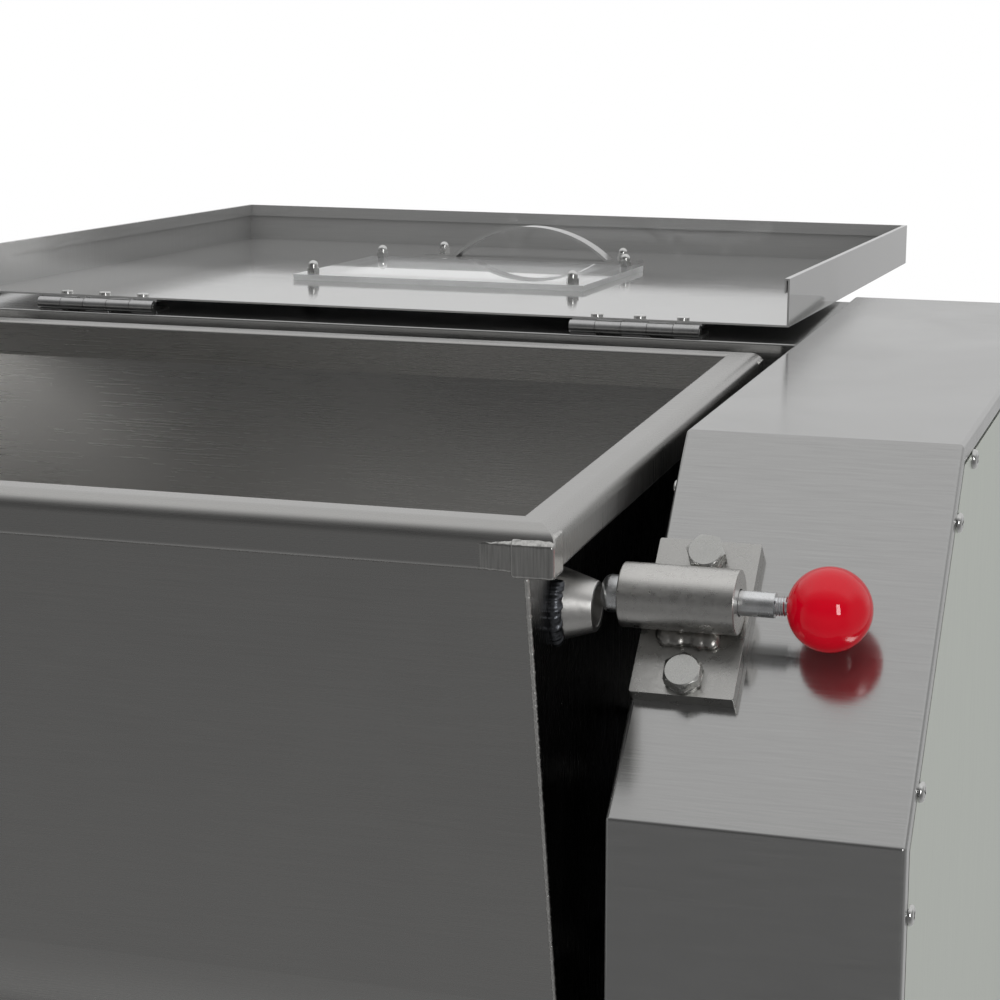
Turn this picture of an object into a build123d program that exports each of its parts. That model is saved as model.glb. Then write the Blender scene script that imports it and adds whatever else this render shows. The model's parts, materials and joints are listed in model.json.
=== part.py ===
from build123d import *

import os
from math import acos, atan2, ceil, cos, degrees, hypot, pi, radians, sin, sqrt, tan

# Dough mixer with a tilting bowl between two housings and a hinged lid.
# Millimetres. +X is the drive side, +Y the back, +Z up, and the floor is Z = 0.
# The model stands as the bowl is left after unloading: unlocked, leaning a degree, with the lid open.

# Housings
TOP_HEIGHT = 940.0
DRIVE_HOUSING_WIDTH = 138.0
IDLE_HOUSING_WIDTH = 80.0
HOUSING_DEPTH = 650.0
HOUSING_FOOT = 60.0
HOUSING_SHEET = 1.5
HOUSING_BEND = 2.5
SLOPE_RISE = 153.0
SLOPE_ANGLE = 45.0
SHAFT_BEHIND_FRONT = 208.0
SHAFT_BELOW_TOP = 234.5

# Side covers, let into the housings
SIDE_FLANGE = 9.0
COVER_SHEET = 2.0
COVER_GAP = 2.0
COVER_LEDGE = 24.0
COVER_SCREW_INSET = 14.0
COVER_SCREW_END = 30.0
COVER_SCREW_SPACING = 230.0
COVER_SCREW_RADIUS = 2.5
COVER_SCREW_LENGTH = 10.0
SCREW_HEAD_RADIUS = 4.6
SCREW_HEAD_HEIGHT = 2.6
SCREW_CLEARANCE = 0.25

# Frame inside the housings
FRAME_TUBE = 40.0
FRAME_WALL = 3.0
RAIL_END_GAP = 10.0
CROSS_RAIL_SETBACK = 25.0
POST_SPREAD = 110.0
POST_ABOVE_SHAFT = 100.0
BEARING_PLATE = 10.0
BEARING_PLATE_HALF_HEIGHT = 90.0
NOTCH_CLEARANCE = 1.0
PANEL_SHEET = 1.5
BASE_TOP = 420.0
DRIVE_BED = 8.0
DRIVE_BED_WIDTH = 150.0
FOOT_STEM_RADIUS = 8.0
FOOT_PAD_RADIUS = 32.0
FOOT_PAD_TOP_RADIUS = 19.0
FOOT_PAD_HEIGHT = 24.0
FOOT_SOCKET_DEPTH = 10.0
FOOT_NUT_WIDTH = 24.0
FOOT_NUT_HEIGHT = 13.0
FOOT_END_DISTANCE = 70.0

# Rear deck and lid hinges
DECK_DROP = 4.0
DECK_SHEET = 1.5
DECK_BEND = 1.2
DECK_LIP = 25.0
DECK_LIP_AHEAD = 4.8
DECK_BEAM_BEHIND = 40.0
HINGE_BEHIND_SHAFT = 254.6
HINGE_HEIGHT = 4.5
HINGE_LENGTH = 84.0
HINGE_SPREAD = 371.0
HINGE_LEAF = 1.5
HINGE_LEAF_WIDTH = 24.0
KNUCKLE_RADIUS = 4.0
KNUCKLES = 5
KNUCKLE_GAP = 0.3
HINGE_PIN_RADIUS = 1.8
HINGE_PIN_CLEARANCE = 0.05
HINGE_SCREWS = 3
HINGE_SCREW_PITCH = 28.0
HINGE_SCREW_BACK = 13.0
HINGE_SCREW_RADIUS = 2.0
HINGE_SCREW_HEAD_RADIUS = 4.0
HINGE_SCREW_HEAD_HEIGHT = 1.8

# Bowl
RIM_LENGTH = 549.0
RIM_DEPTH = 456.0
RIM_BAR = 20.0
RIM_HEIGHT = 22.0
RIM_ROUND = 9.0
RIM_EDGE_ROUND = 2.0
RIM_LIP_ROUND = 3.0
RIM_WALL = 2.5
RIM_SLOT = 4.0
RIM_ABOVE_SHAFT = 226.0
RIM_SIDE_GAP = 17.5
BOWL_SHEET = 2.0
TROUGH_RADIUS = 165.0
REST_LEAN = 1.0
LOCK_LEAN = -1.0

# Trunnions
SLEEVE_RADIUS = 45.0
SLEEVE_BORE = 26.0
SLEEVE_FLANGE_RADIUS = 80.0
SLEEVE_FLANGE = 8.0
SEAL_RADIUS = 31.0
SEAL_WIDTH = 10.0
HUB_RADIUS = 66.0
HUB_WIDTH = 18.0
BUSH_WALL = 7.0
RUNNING_CLEARANCE = 0.05
END_PLATE_CLEARANCE = 1.0
BEARING_FLANGE = 130.0
BEARING_FLANGE_THICKNESS = 14.0
BEARING_CORNER = 15.0
BEARING_BOSS_RADIUS = 50.0
BEARING_WIDTH = 44.0
BEARING_INSERT_RADIUS = 42.5
BEARING_BOLT_SPREAD = 46.0
BOLT_RADIUS = 5.0
BOLT_CLEARANCE = 0.5
BOLT_HEAD_WIDTH = 17.0
BOLT_HEAD_HEIGHT = 6.4
BOLT_NUT_HEIGHT = 8.0
BOLT_END = 3.0

# Agitator
SHAFT_RADIUS = 22.5
AGITATOR_RADIUS = 138.0
AGITATOR_BARS = 3
AGITATOR_TURN = 30.0
BAR_RADIUS = 12.0
SPIDER_WIDTH = 30.0
SPIDER_HUB_RADIUS = 42.0
SPIDER_EYE_RADIUS = 18.0
SPIDER_ARM = 26.0
SPIDER_GAP = 12.0
IDLE_SHAFT_END = 60.0

# Chain drive
CHAIN_PITCH = 15.875
CHAIN_OFFSET = 82.0
MAIN_TEETH = 36
DRIVE_TEETH = 12
ROLLER_RADIUS = 5.08
CHAIN_INNER_WIDTH = 9.65
LINK_PLATE = 1.6
LINK_HEIGHT = 13.0
SPROCKET_WIDTH = 8.5
TOOTH_HEIGHT = 3.0
TOOTH_CLEARANCE = 0.45
TOOTH_RELIEF = 20.0
MAIN_HUB_RADIUS = 36.0
DRIVE_HUB_RADIUS = 21.0
SHAFT_END_OVERHANG = 12.0
HUB_START = 60.0

# Worm reducer and motor, under the bowl
REDUCER_WIDTH = 110.0
REDUCER_HALF_LENGTH = 85.0
REDUCER_WALL = 8.0
REDUCER_SIDE_GAP = 25.0
REDUCER_ABOVE = 70.0
OUTPUT_RADIUS = 15.0
OUTPUT_HOLE_CLEARANCE = 7.5
GEAR_MODULE = 2.5
ADDENDUM = 2.0
DEDENDUM = 3.125
WHEEL_TEETH = 40
WHEEL_WIDTH = 30.0
WORM_PITCH_RADIUS = 25.0
WORM_LENGTH = 90.0
WORM_SHAFT_RADIUS = 12.0
GEAR_BACKLASH = 0.7
GEAR_CLEARANCE = 0.5
MOTOR_FLANGE_RADIUS = 80.0
MOTOR_FLANGE = 10.0
MOTOR_RADIUS = 68.0
MOTOR_FIN = 9.0
MOTOR_FINS = 24
FIN_WIDTH = 3.0
MOTOR_LENGTH = 190.0
MOTOR_BORE = 46.0
MOTOR_WALL = 12.0
ROTOR_GAP = 0.6
MOTOR_CLEARANCE = 25.0
MOTOR_NOSE_RADIUS = 7.0
MOTOR_NOSE_LENGTH = 30.0
FAN_RADIUS = 58.0
FAN_BLADES = 8
FAN_WIDTH = 24.0
FAN_GAP = 6.0
FAN_COVER_SHEET = 1.5
FAN_SLOTS = 12

# Bowl lock on the drive housing's slope
LATCH_DOWN = 111.5
LATCH_EDGE = 0.7
LATCH_PLATE_WIDTH = 50.0
LATCH_PLATE_LENGTH = 85.0
LATCH_PLATE = 8.0
LATCH_BOLT_SPREAD = 65.4
BARREL_RADIUS = 15.5
BARREL_STANDOFF = 1.0
BARREL_AHEAD = 6.7
BARREL_BEHIND = 49.2
BARREL_FOOT_WIDTH = 18.0
BARREL_FOOT_START = 4.0
BARREL_FOOT_END = 46.0
CHAMBER_START = 4.0
CHAMBER_END = 46.0
CHAMBER_RADIUS = 11.0
LOCK_PIN_RADIUS = 9.0
LOCK_PIN_CLEARANCE = 1.0
LOCK_PIN_ROUND = 4.0
PIN_COLLAR_RADIUS = 10.5
PIN_COLLAR = 3.0
PIN_SHOULDER = 16.0
SHANK_RADIUS = 6.0
SHANK_END = 66.0
STUD_RADIUS = 4.0
BALL_RADIUS = 20.0
BALL_CENTRE = 91.2
BALL_FLAT = 1.2
SPRING_WIRE = 1.6
SPRING_RADIUS = 8.3
SPRING_TURNS = 6
SPRING_SEAT = 0.3
SOCKET_BASE_RADIUS = 17.6
SOCKET_MOUTH_RADIUS = 12.0
SOCKET_CLEARANCE = 0.6

# Lid, open
LID_SHEET = 1.2
LID_SIDE_CLEARANCE = 4.1
LID_FRONT_CLEARANCE = 1.0
LID_FLANGE = 30.0
LID_EDGE_BEHIND = 5.6
LID_DECK_GAP = 1.6
HEM_GAP = 0.8
HEM_DEPTH = 9.0
WINDOW_WIDTH = 216.0
WINDOW_DEPTH = 168.0
WINDOW_PLATE = 4.0
WINDOW_SETBACK = 153.0
WINDOW_NUT_INSET = 11.0
WINDOW_OVERLAP = 24.0
HANDLE_SETBACK = 391.0
HANDLE_SPAN = 126.0
HANDLE_FOOT = 25.0
HANDLE_HEIGHT = 25.5
HANDLE_WIDTH = 16.0
HANDLE_STRAP = 1.5
HANDLE_NUT_OUT = 11.0
DOME_NUT_WIDTH = 8.0
DOME_NUT_HEX = 4.0
DOME_NUT_COLLAR = 1.8
DOME_RADIUS = 3.6
DOME_BOLT_RADIUS = 2.5
DOME_BOLT_HEAD_RADIUS = 4.5
DOME_BOLT_HEAD = 1.2

# Push buttons and cable gland
BUTTON_RADIUS = 10.0
BUTTON_CLEARANCE = 0.3
BUTTON_PROUD = 7.0
BUTTON_LENGTH = 17.0
BUTTON_ROUND = 1.2
BUTTON_INSET = 69.0
BUTTON_PITCH = 60.0
BUTTON_HEIGHT = 590.0
BEZEL_RADIUS = 14.5
BEZEL_THICKNESS = 3.0
BEZEL_SLEEVE = 1.4
BEZEL_DEPTH = 20.0
CONTACT_BLOCK = 30.0
CONTACT_DEPTH = 38.0
GLAND_RADIUS = 12.0
GLAND_BORE = 6.0
GLAND_HEX = 28.0
GLAND_FLANGE = 6.0
GLAND_LENGTH = 22.0
GLAND_INSET = 70.0
GLAND_HEIGHT = 160.0

# Places across the machine, from the widths above
INNER_SPAN = RIM_LENGTH + 2 * RIM_SIDE_GAP
HALF_WIDTH = (INNER_SPAN + DRIVE_HOUSING_WIDTH + IDLE_HOUSING_WIDTH) / 2
DRIVE_X = HALF_WIDTH - DRIVE_HOUSING_WIDTH
IDLE_X = IDLE_HOUSING_WIDTH - HALF_WIDTH
BOWL_X = (DRIVE_X + IDLE_X) / 2
DRIVE = 1
IDLE = -1

# Lid sizes in its own frame: the hinge axis is the origin and +Y runs along the open lid
LID_FACE = HINGE_HEIGHT
LID_TOP = LID_FACE + LID_SHEET
HEM = 2 * LID_SHEET + HEM_GAP
LID_WIDTH = RIM_LENGTH + 2 * LID_SIDE_CLEARANCE + 2 * HEM
RIM_FRONT_REACH = (
    (RIM_DEPTH / 2 - RIM_ROUND) * cos(radians(REST_LEAN))
    + (RIM_ABOVE_SHAFT - RIM_ROUND) * sin(radians(REST_LEAN))
    + RIM_ROUND
)
LID_REACH = HINGE_BEHIND_SHAFT + RIM_FRONT_REACH + LID_FRONT_CLEARANCE + HEM
LID_RIM = LID_FACE + LID_FLANGE
DECK_BEHIND_HINGE = HOUSING_DEPTH - SHAFT_BEHIND_FRONT - HINGE_BEHIND_SHAFT
LID_DROP = degrees(2 * atan2(LID_FACE - LID_DECK_GAP / 2, DECK_BEHIND_HINGE))

# Places along the machine: the origin lies midway between the bowl's front and the open lid's back
REAR_REACH = (
    HINGE_BEHIND_SHAFT
    + LID_REACH * cos(radians(LID_DROP))
    + LID_RIM * sin(radians(LID_DROP))
)
SHAFT_Y = (RIM_FRONT_REACH - REAR_REACH) / 2
SHAFT_Z = TOP_HEIGHT - SHAFT_BELOW_TOP
FRONT_Y = SHAFT_Y - SHAFT_BEHIND_FRONT
BACK_Y = FRONT_Y + HOUSING_DEPTH
KNEE_Z = TOP_HEIGHT - SLOPE_RISE
BREAK_Y = FRONT_Y + SLOPE_RISE / tan(radians(SLOPE_ANGLE))
DECK_Z = TOP_HEIGHT - DECK_DROP
HINGE_Y = SHAFT_Y + HINGE_BEHIND_SHAFT
HINGE_Z = DECK_Z + HINGE_HEIGHT
RAIL_TOP = HOUSING_FOOT + FRAME_TUBE
PLATE_END = HOUSING_SHEET + BEARING_PLATE
POST_END = PLATE_END + FRAME_TUBE

# Bowl frame: the shaft axis is the origin, turned by the lean
RIM_BOTTOM = RIM_ABOVE_SHAFT - RIM_HEIGHT
HALF_INSIDE = RIM_LENGTH / 2 - RIM_BAR
HALF_MOUTH = RIM_DEPTH / 2 - RIM_BAR
END_FACE = RIM_SIDE_GAP + RIM_BAR - BOWL_SHEET

# Lock frame: a point of the slope is the origin and +Z stands off the slope
LOCK_HEIGHT = LATCH_PLATE + BARREL_STANDOFF + BARREL_RADIUS
LATCH_Y = BREAK_Y - LATCH_DOWN * cos(radians(SLOPE_ANGLE))
LATCH_Z = TOP_HEIGHT - LATCH_DOWN * sin(radians(SLOPE_ANGLE))
LOCK_Y = LATCH_Y - LOCK_HEIGHT * sin(radians(SLOPE_ANGLE))
LOCK_Z = LATCH_Z + LOCK_HEIGHT * cos(radians(SLOPE_ANGLE))

# Drive train places: the chain gets as many links as leave the motor clear of its bed
BED_TOP = RAIL_TOP + DRIVE_BED
WHEEL_PITCH_RADIUS = GEAR_MODULE * WHEEL_TEETH / 2
GEAR_DISTANCE = WHEEL_PITCH_RADIUS + WORM_PITCH_RADIUS + 2 * ADDENDUM + GEAR_CLEARANCE
LOWEST_OUTPUT = BED_TOP + MOTOR_CLEARANCE + MOTOR_FLANGE_RADIUS + GEAR_DISTANCE
MAIN_PITCH_RADIUS = CHAIN_PITCH / (2 * sin(pi / MAIN_TEETH))
DRIVE_PITCH_RADIUS = CHAIN_PITCH / (2 * sin(pi / DRIVE_TEETH))
MAIN_WRAP = 180 / MAIN_TEETH * (MAIN_TEETH // 2 + 1)
DRIVE_WRAP = 180 / DRIVE_TEETH * (DRIVE_TEETH // 2 - 1)
WRAP_RISE = MAIN_PITCH_RADIUS * cos(radians(MAIN_WRAP)) + DRIVE_PITCH_RADIUS * cos(radians(DRIVE_WRAP))
SPAN_ACROSS = MAIN_PITCH_RADIUS * sin(radians(MAIN_WRAP)) - DRIVE_PITCH_RADIUS * sin(radians(DRIVE_WRAP))
SPAN_LINKS = int(hypot(SHAFT_Z - LOWEST_OUTPUT + WRAP_RISE, SPAN_ACROSS) / CHAIN_PITCH)
SPROCKET_DISTANCE = sqrt((SPAN_LINKS * CHAIN_PITCH) ** 2 - SPAN_ACROSS**2) - WRAP_RISE
CHAIN_X = DRIVE_X + CHAIN_OFFSET
SHAFT_END_X = CHAIN_X + SHAFT_END_OVERHANG
OUTPUT_Z = SHAFT_Z - SPROCKET_DISTANCE
WORM_Z = OUTPUT_Z - GEAR_DISTANCE
REDUCER_X = DRIVE_X - REDUCER_SIDE_GAP - REDUCER_WIDTH / 2
MOTOR_FRONT = SHAFT_Y + REDUCER_HALF_LENGTH
MOTOR_BACK = MOTOR_FRONT + MOTOR_FLANGE + MOTOR_LENGTH

BOWL_PLACE = Pos(0, SHAFT_Y, SHAFT_Z) * Rot(REST_LEAN, 0, 0)
LID_PLACE = Pos(BOWL_X, HINGE_Y, HINGE_Z) * Rot(-LID_DROP, 0, 0)
LOCK_PLACE = Pos(DRIVE_X, LATCH_Y, LATCH_Z) * Rot(SLOPE_ANGLE, 0, 0)


# Helpers
def across(side, distance):
    """X of a point at a distance into the housing on that side, from its inner face."""
    return DRIVE_X + distance if side == DRIVE else IDLE_X - distance


def block(x_span, y_span, z_span):
    (x0, x1), (y0, y1), (z0, z1) = (sorted(span) for span in (x_span, y_span, z_span))
    return Pos((x0 + x1) / 2, (y0 + y1) / 2, (z0 + z1) / 2) * Box(x1 - x0, y1 - y0, z1 - z0)


def bar_x(radius, x_span, y=0.0, z=0.0):
    return Pos(sum(x_span) / 2, y, z) * Rot(0, 90, 0) * Cylinder(radius, abs(x_span[1] - x_span[0]))


def bar_y(radius, y_span, x=0.0, z=0.0):
    return Pos(x, sum(y_span) / 2, z) * Rot(90, 0, 0) * Cylinder(radius, abs(y_span[1] - y_span[0]))


def bar_z(radius, z_span, x=0.0, y=0.0):
    return Pos(x, y, sum(z_span) / 2) * Cylinder(radius, abs(z_span[1] - z_span[0]))


def slab_x(outline, x_span):
    """A YZ outline made thick along X."""
    x0, x1 = sorted(x_span)
    return Pos(x0, 0, 0) * extrude(Plane.YZ * outline, amount=x1 - x0)


def hexagon(width):
    return RegularPolygon(width / 2, 6, major_radius=False)


def box_tube(x_span, y_span, z_span, axis):
    """A square tube along one axis, open at both ends."""
    spans = [sorted(x_span), sorted(y_span), sorted(z_span)]
    inside = [
        (low - FRAME_WALL, high + FRAME_WALL) if i == axis else (low + FRAME_WALL, high - FRAME_WALL)
        for i, (low, high) in enumerate(spans)
    ]
    return block(*spans) - block(*inside)


def turned(point, angle):
    """A (y, z) point turned about the origin."""
    y, z = point
    a = radians(angle)
    return (y * cos(a) - z * sin(a), y * sin(a) + z * cos(a))


# Housings and covers
def outline_points(inset, foot_inset):
    knee = inset * tan(radians(90 - SLOPE_ANGLE) / 2)
    brow = inset * tan(radians(SLOPE_ANGLE) / 2)
    return [
        (FRONT_Y + inset, HOUSING_FOOT + foot_inset),
        (FRONT_Y + inset, KNEE_Z - knee),
        (BREAK_Y + brow, TOP_HEIGHT - inset),
        (BACK_Y - inset, TOP_HEIGHT - inset),
        (BACK_Y - inset, HOUSING_FOOT + foot_inset),
    ]


def housing_outline(inset, foot_inset):
    return make_face(Polyline(*outline_points(inset, foot_inset), close=True))


def cover_screw_points():
    """Places of the cover screws: near each corner and evenly between."""
    corners = outline_points(COVER_SCREW_INSET, COVER_SCREW_INSET)
    points = []
    for start, end in zip(corners, corners[1:] + corners[:1]):
        length = hypot(end[0] - start[0], end[1] - start[1])
        steps = ceil((length - 2 * COVER_SCREW_END) / COVER_SCREW_SPACING)
        for step in range(steps + 1):
            part = (COVER_SCREW_END + step * (length - 2 * COVER_SCREW_END) / steps) / length
            points.append((start[0] + part * (end[0] - start[0]), start[1] + part * (end[1] - start[1])))
    return points


def bearing_bolt_points():
    signs = (-1, 1)
    return [
        (SHAFT_Y + BEARING_BOLT_SPREAD * i, SHAFT_Z + BEARING_BOLT_SPREAD * j) for i in signs for j in signs
    ]


def button_heights():
    return (BUTTON_HEIGHT + BUTTON_PITCH / 2, BUTTON_HEIGHT - BUTTON_PITCH / 2)


def cross_rail_spans():
    front = FRONT_Y + CROSS_RAIL_SETBACK
    back = BACK_Y - CROSS_RAIL_SETBACK
    return ((front, front + FRAME_TUBE), (back - FRAME_TUBE, back))


def housing_shell(side):
    """Folded sheet with an open outer side, whose edge is joggled to take the cover flush."""
    width = DRIVE_HOUSING_WIDTH if side == DRIVE else IDLE_HOUSING_WIDTH
    ledge = width - COVER_SHEET - HOUSING_SHEET
    body = slab_x(housing_outline(0, 0), (across(side, 0), across(side, width)))
    bends = [edge for edge in body.edges() if edge.center().Z > HOUSING_FOOT + HOUSING_SHEET]
    body = fillet(bends, HOUSING_BEND)
    body -= slab_x(
        housing_outline(HOUSING_SHEET, -HOUSING_SHEET), (across(side, HOUSING_SHEET), across(side, ledge))
    )
    body -= slab_x(
        housing_outline(SIDE_FLANGE, SIDE_FLANGE),
        (across(side, width - COVER_SHEET), across(side, width + COVER_SHEET)),
    )
    opening = SIDE_FLANGE + COVER_LEDGE
    through = (across(side, ledge - HOUSING_SHEET), across(side, width))
    body -= slab_x(housing_outline(opening, opening), through)
    inner_wall = (across(side, -HOUSING_SHEET), across(side, 2 * HOUSING_SHEET))
    body -= bar_x(SLEEVE_BORE, inner_wall, SHAFT_Y, SHAFT_Z)
    for y, z in bearing_bolt_points():
        body -= bar_x(BOLT_RADIUS + BOLT_CLEARANCE, inner_wall, y, z)
    for y0, y1 in cross_rail_spans():
        body -= block(
            inner_wall,
            (y0 - NOTCH_CLEARANCE, y1 + NOTCH_CLEARANCE),
            (HOUSING_FOOT - NOTCH_CLEARANCE, RAIL_TOP + NOTCH_CLEARANCE),
        )
    ledge_depth = (across(side, ledge - HOUSING_SHEET), across(side, width))
    for y, z in cover_screw_points():
        body -= bar_x(COVER_SCREW_RADIUS + SCREW_CLEARANCE, ledge_depth, y, z)
    return body


def drive_housing_shell():
    shell = housing_shell(DRIVE)
    inner_wall = (DRIVE_X - HOUSING_SHEET, DRIVE_X + 2 * HOUSING_SHEET)
    shell -= bar_x(OUTPUT_RADIUS + OUTPUT_HOLE_CLEARANCE, inner_wall, SHAFT_Y, OUTPUT_Z)
    for y in (-LATCH_BOLT_SPREAD / 2, LATCH_BOLT_SPREAD / 2):
        hole = bar_z(BOLT_RADIUS + BOLT_CLEARANCE, (-2 * HOUSING_SHEET, HOUSING_SHEET), latch_bolt_x(), y)
        shell -= LOCK_PLACE * hole
    front = (FRONT_Y - HOUSING_SHEET, FRONT_Y + 2 * HOUSING_SHEET)
    sleeve = BUTTON_RADIUS + BUTTON_CLEARANCE + BEZEL_SLEEVE
    for z in button_heights():
        shell -= bar_y(sleeve, front, DRIVE_X + BUTTON_INSET, z)
    back = (BACK_Y - 2 * HOUSING_SHEET, BACK_Y + HOUSING_SHEET)
    shell -= bar_y(GLAND_RADIUS, back, DRIVE_X + GLAND_INSET, GLAND_HEIGHT)
    return shell


def side_cover(side):
    width = DRIVE_HOUSING_WIDTH if side == DRIVE else IDLE_HOUSING_WIDTH
    inset = SIDE_FLANGE + COVER_GAP
    thickness = (across(side, width - COVER_SHEET), across(side, width))
    cover = slab_x(housing_outline(inset, inset), thickness)
    for y, z in cover_screw_points():
        cover -= bar_x(COVER_SCREW_RADIUS + SCREW_CLEARANCE, thickness, y, z)
    return cover


def cover_screws():
    screws = []
    for side, width in ((DRIVE, DRIVE_HOUSING_WIDTH), (IDLE, IDLE_HOUSING_WIDTH)):
        face = across(side, width)
        for y, z in cover_screw_points():
            head = bar_x(SCREW_HEAD_RADIUS, (face, across(side, width + SCREW_HEAD_HEIGHT)), y, z)
            outer = head.edges().sort_by(Axis.X)[-1 if side == DRIVE else 0]
            head = fillet(outer, SCREW_HEAD_HEIGHT / 2)
            shank = (face, across(side, width - COVER_SCREW_LENGTH))
            screws.append(head + bar_x(COVER_SCREW_RADIUS, shank, y, z))
    return screws


# Frame, panels and feet
def side_frames():
    """A base rail and two posts inside each housing."""
    tubes = []
    for side in (DRIVE, IDLE):
        x_span = (across(side, PLATE_END), across(side, POST_END))
        rail = (FRONT_Y + RAIL_END_GAP, BACK_Y - RAIL_END_GAP)
        tubes.append(box_tube(x_span, rail, (HOUSING_FOOT, RAIL_TOP), 1))
        for y in (SHAFT_Y - POST_SPREAD, SHAFT_Y + POST_SPREAD):
            post = (y - FRAME_TUBE / 2, y + FRAME_TUBE / 2)
            tubes.append(box_tube(x_span, post, (RAIL_TOP, SHAFT_Z + POST_ABOVE_SHAFT), 2))
    return tubes


def cross_tubes():
    """Front and rear base rails and the beam under the deck."""
    rail = (across(IDLE, PLATE_END), across(DRIVE, PLATE_END))
    tubes = [box_tube(rail, y_span, (HOUSING_FOOT, RAIL_TOP), 0) for y_span in cross_rail_spans()]
    beam = (HINGE_Y + DECK_BEAM_BEHIND, HINGE_Y + DECK_BEAM_BEHIND + FRAME_TUBE)
    top = DECK_Z - DECK_SHEET
    tubes.append(box_tube((IDLE_X, DRIVE_X), beam, (top - FRAME_TUBE, top), 0))
    return tubes


def bearing_plates():
    half_length = POST_SPREAD + FRAME_TUBE / 2
    plates = []
    for side in (DRIVE, IDLE):
        x_span = (across(side, HOUSING_SHEET), across(side, PLATE_END))
        plate = block(
            x_span,
            (SHAFT_Y - half_length, SHAFT_Y + half_length),
            (SHAFT_Z - BEARING_PLATE_HALF_HEIGHT, SHAFT_Z + BEARING_PLATE_HALF_HEIGHT),
        )
        plate -= bar_x(SLEEVE_BORE, x_span, SHAFT_Y, SHAFT_Z)
        for y, z in bearing_bolt_points():
            plate -= bar_x(BOLT_RADIUS + BOLT_CLEARANCE, x_span, y, z)
        plates.append(plate)
    return plates


def rear_deck():
    """Sheet behind the bowl with its front edge folded down."""
    front = HINGE_Y - DECK_LIP_AHEAD
    top = block((IDLE_X, DRIVE_X), (front, BACK_Y), (DECK_Z - DECK_SHEET, DECK_Z))
    lip = block((IDLE_X, DRIVE_X), (front, front + DECK_SHEET), (DECK_Z - DECK_LIP, DECK_Z))
    deck = top + lip
    fold = deck.edges().filter_by(Axis.X).group_by(Axis.Y)[0].sort_by(Axis.Z)[-1]
    deck = fillet(fold, DECK_BEND)
    for x, y in hinge_rivet_points():
        deck -= bar_z(HINGE_SCREW_RADIUS, (DECK_Z - DECK_SHEET, DECK_Z), BOWL_X + x, HINGE_Y + y)
    return deck


def rear_panel():
    return block((IDLE_X, DRIVE_X), (BACK_Y - PANEL_SHEET, BACK_Y), (HOUSING_FOOT, DECK_Z - DECK_SHEET))


def front_panel():
    back = FRONT_Y + CROSS_RAIL_SETBACK
    return block((IDLE_X, DRIVE_X), (back - PANEL_SHEET, back), (HOUSING_FOOT, BASE_TOP - PANEL_SHEET))


def base_cover():
    front = FRONT_Y + CROSS_RAIL_SETBACK - PANEL_SHEET
    return block((IDLE_X, DRIVE_X), (front, BACK_Y - PANEL_SHEET), (BASE_TOP - PANEL_SHEET, BASE_TOP))


def drive_bed():
    x_span = (REDUCER_X - DRIVE_BED_WIDTH / 2, REDUCER_X + DRIVE_BED_WIDTH / 2)
    y_span = (FRONT_Y + CROSS_RAIL_SETBACK, BACK_Y - CROSS_RAIL_SETBACK)
    return block(x_span, y_span, (RAIL_TOP, BED_TOP))


def foot_places():
    middle = (PLATE_END + POST_END) / 2
    ends = (FRONT_Y + FOOT_END_DISTANCE, BACK_Y - FOOT_END_DISTANCE)
    return [(across(side, middle), y) for side in (DRIVE, IDLE) for y in ends]


def foot_stems():
    stems = []
    for x, y in foot_places():
        stem = bar_z(FOOT_STEM_RADIUS, (FOOT_PAD_HEIGHT - FOOT_SOCKET_DEPTH, HOUSING_FOOT), x, y)
        nut = Pos(x, y, HOUSING_FOOT - FOOT_NUT_HEIGHT) * extrude(hexagon(FOOT_NUT_WIDTH), FOOT_NUT_HEIGHT)
        stems.append(stem + nut)
    return stems


def foot_pads():
    pads = []
    for x, y in foot_places():
        pad = Pos(x, y, FOOT_PAD_HEIGHT / 2) * Cone(FOOT_PAD_RADIUS, FOOT_PAD_TOP_RADIUS, FOOT_PAD_HEIGHT)
        socket = (FOOT_PAD_HEIGHT - FOOT_SOCKET_DEPTH, FOOT_PAD_HEIGHT)
        pads.append(pad - bar_z(FOOT_STEM_RADIUS, socket, x, y))
    return pads


# Trunnions and shaft bearings
def trunnion_sleeves():
    """Fixed sleeves that the bowl tilts on; the shaft runs through them."""
    sleeves = []
    for side in (DRIVE, IDLE):
        flange = (across(side, -SLEEVE_FLANGE), across(side, 0))
        inner_end = across(side, -RIM_SIDE_GAP - RIM_BAR)
        sleeve = bar_x(SLEEVE_FLANGE_RADIUS, flange, SHAFT_Y, SHAFT_Z)
        sleeve += bar_x(SLEEVE_RADIUS, (inner_end, across(side, 0)), SHAFT_Y, SHAFT_Z)
        sleeve -= bar_x(SLEEVE_BORE, (inner_end, across(side, 0)), SHAFT_Y, SHAFT_Z)
        seal = (inner_end, across(side, SEAL_WIDTH - RIM_SIDE_GAP - RIM_BAR))
        sleeve -= bar_x(SEAL_RADIUS, seal, SHAFT_Y, SHAFT_Z)
        for y, z in bearing_bolt_points():
            sleeve -= bar_x(BOLT_RADIUS + BOLT_CLEARANCE, flange, y, z)
        sleeves.append(sleeve)
    return sleeves


def shaft_seals():
    seals = []
    for side in (DRIVE, IDLE):
        width = (across(side, -RIM_SIDE_GAP - RIM_BAR), across(side, SEAL_WIDTH - RIM_SIDE_GAP - RIM_BAR))
        ring = bar_x(SEAL_RADIUS, width, SHAFT_Y, SHAFT_Z)
        seals.append(ring - bar_x(SHAFT_RADIUS + RUNNING_CLEARANCE, width, SHAFT_Y, SHAFT_Z))
    return seals


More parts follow.
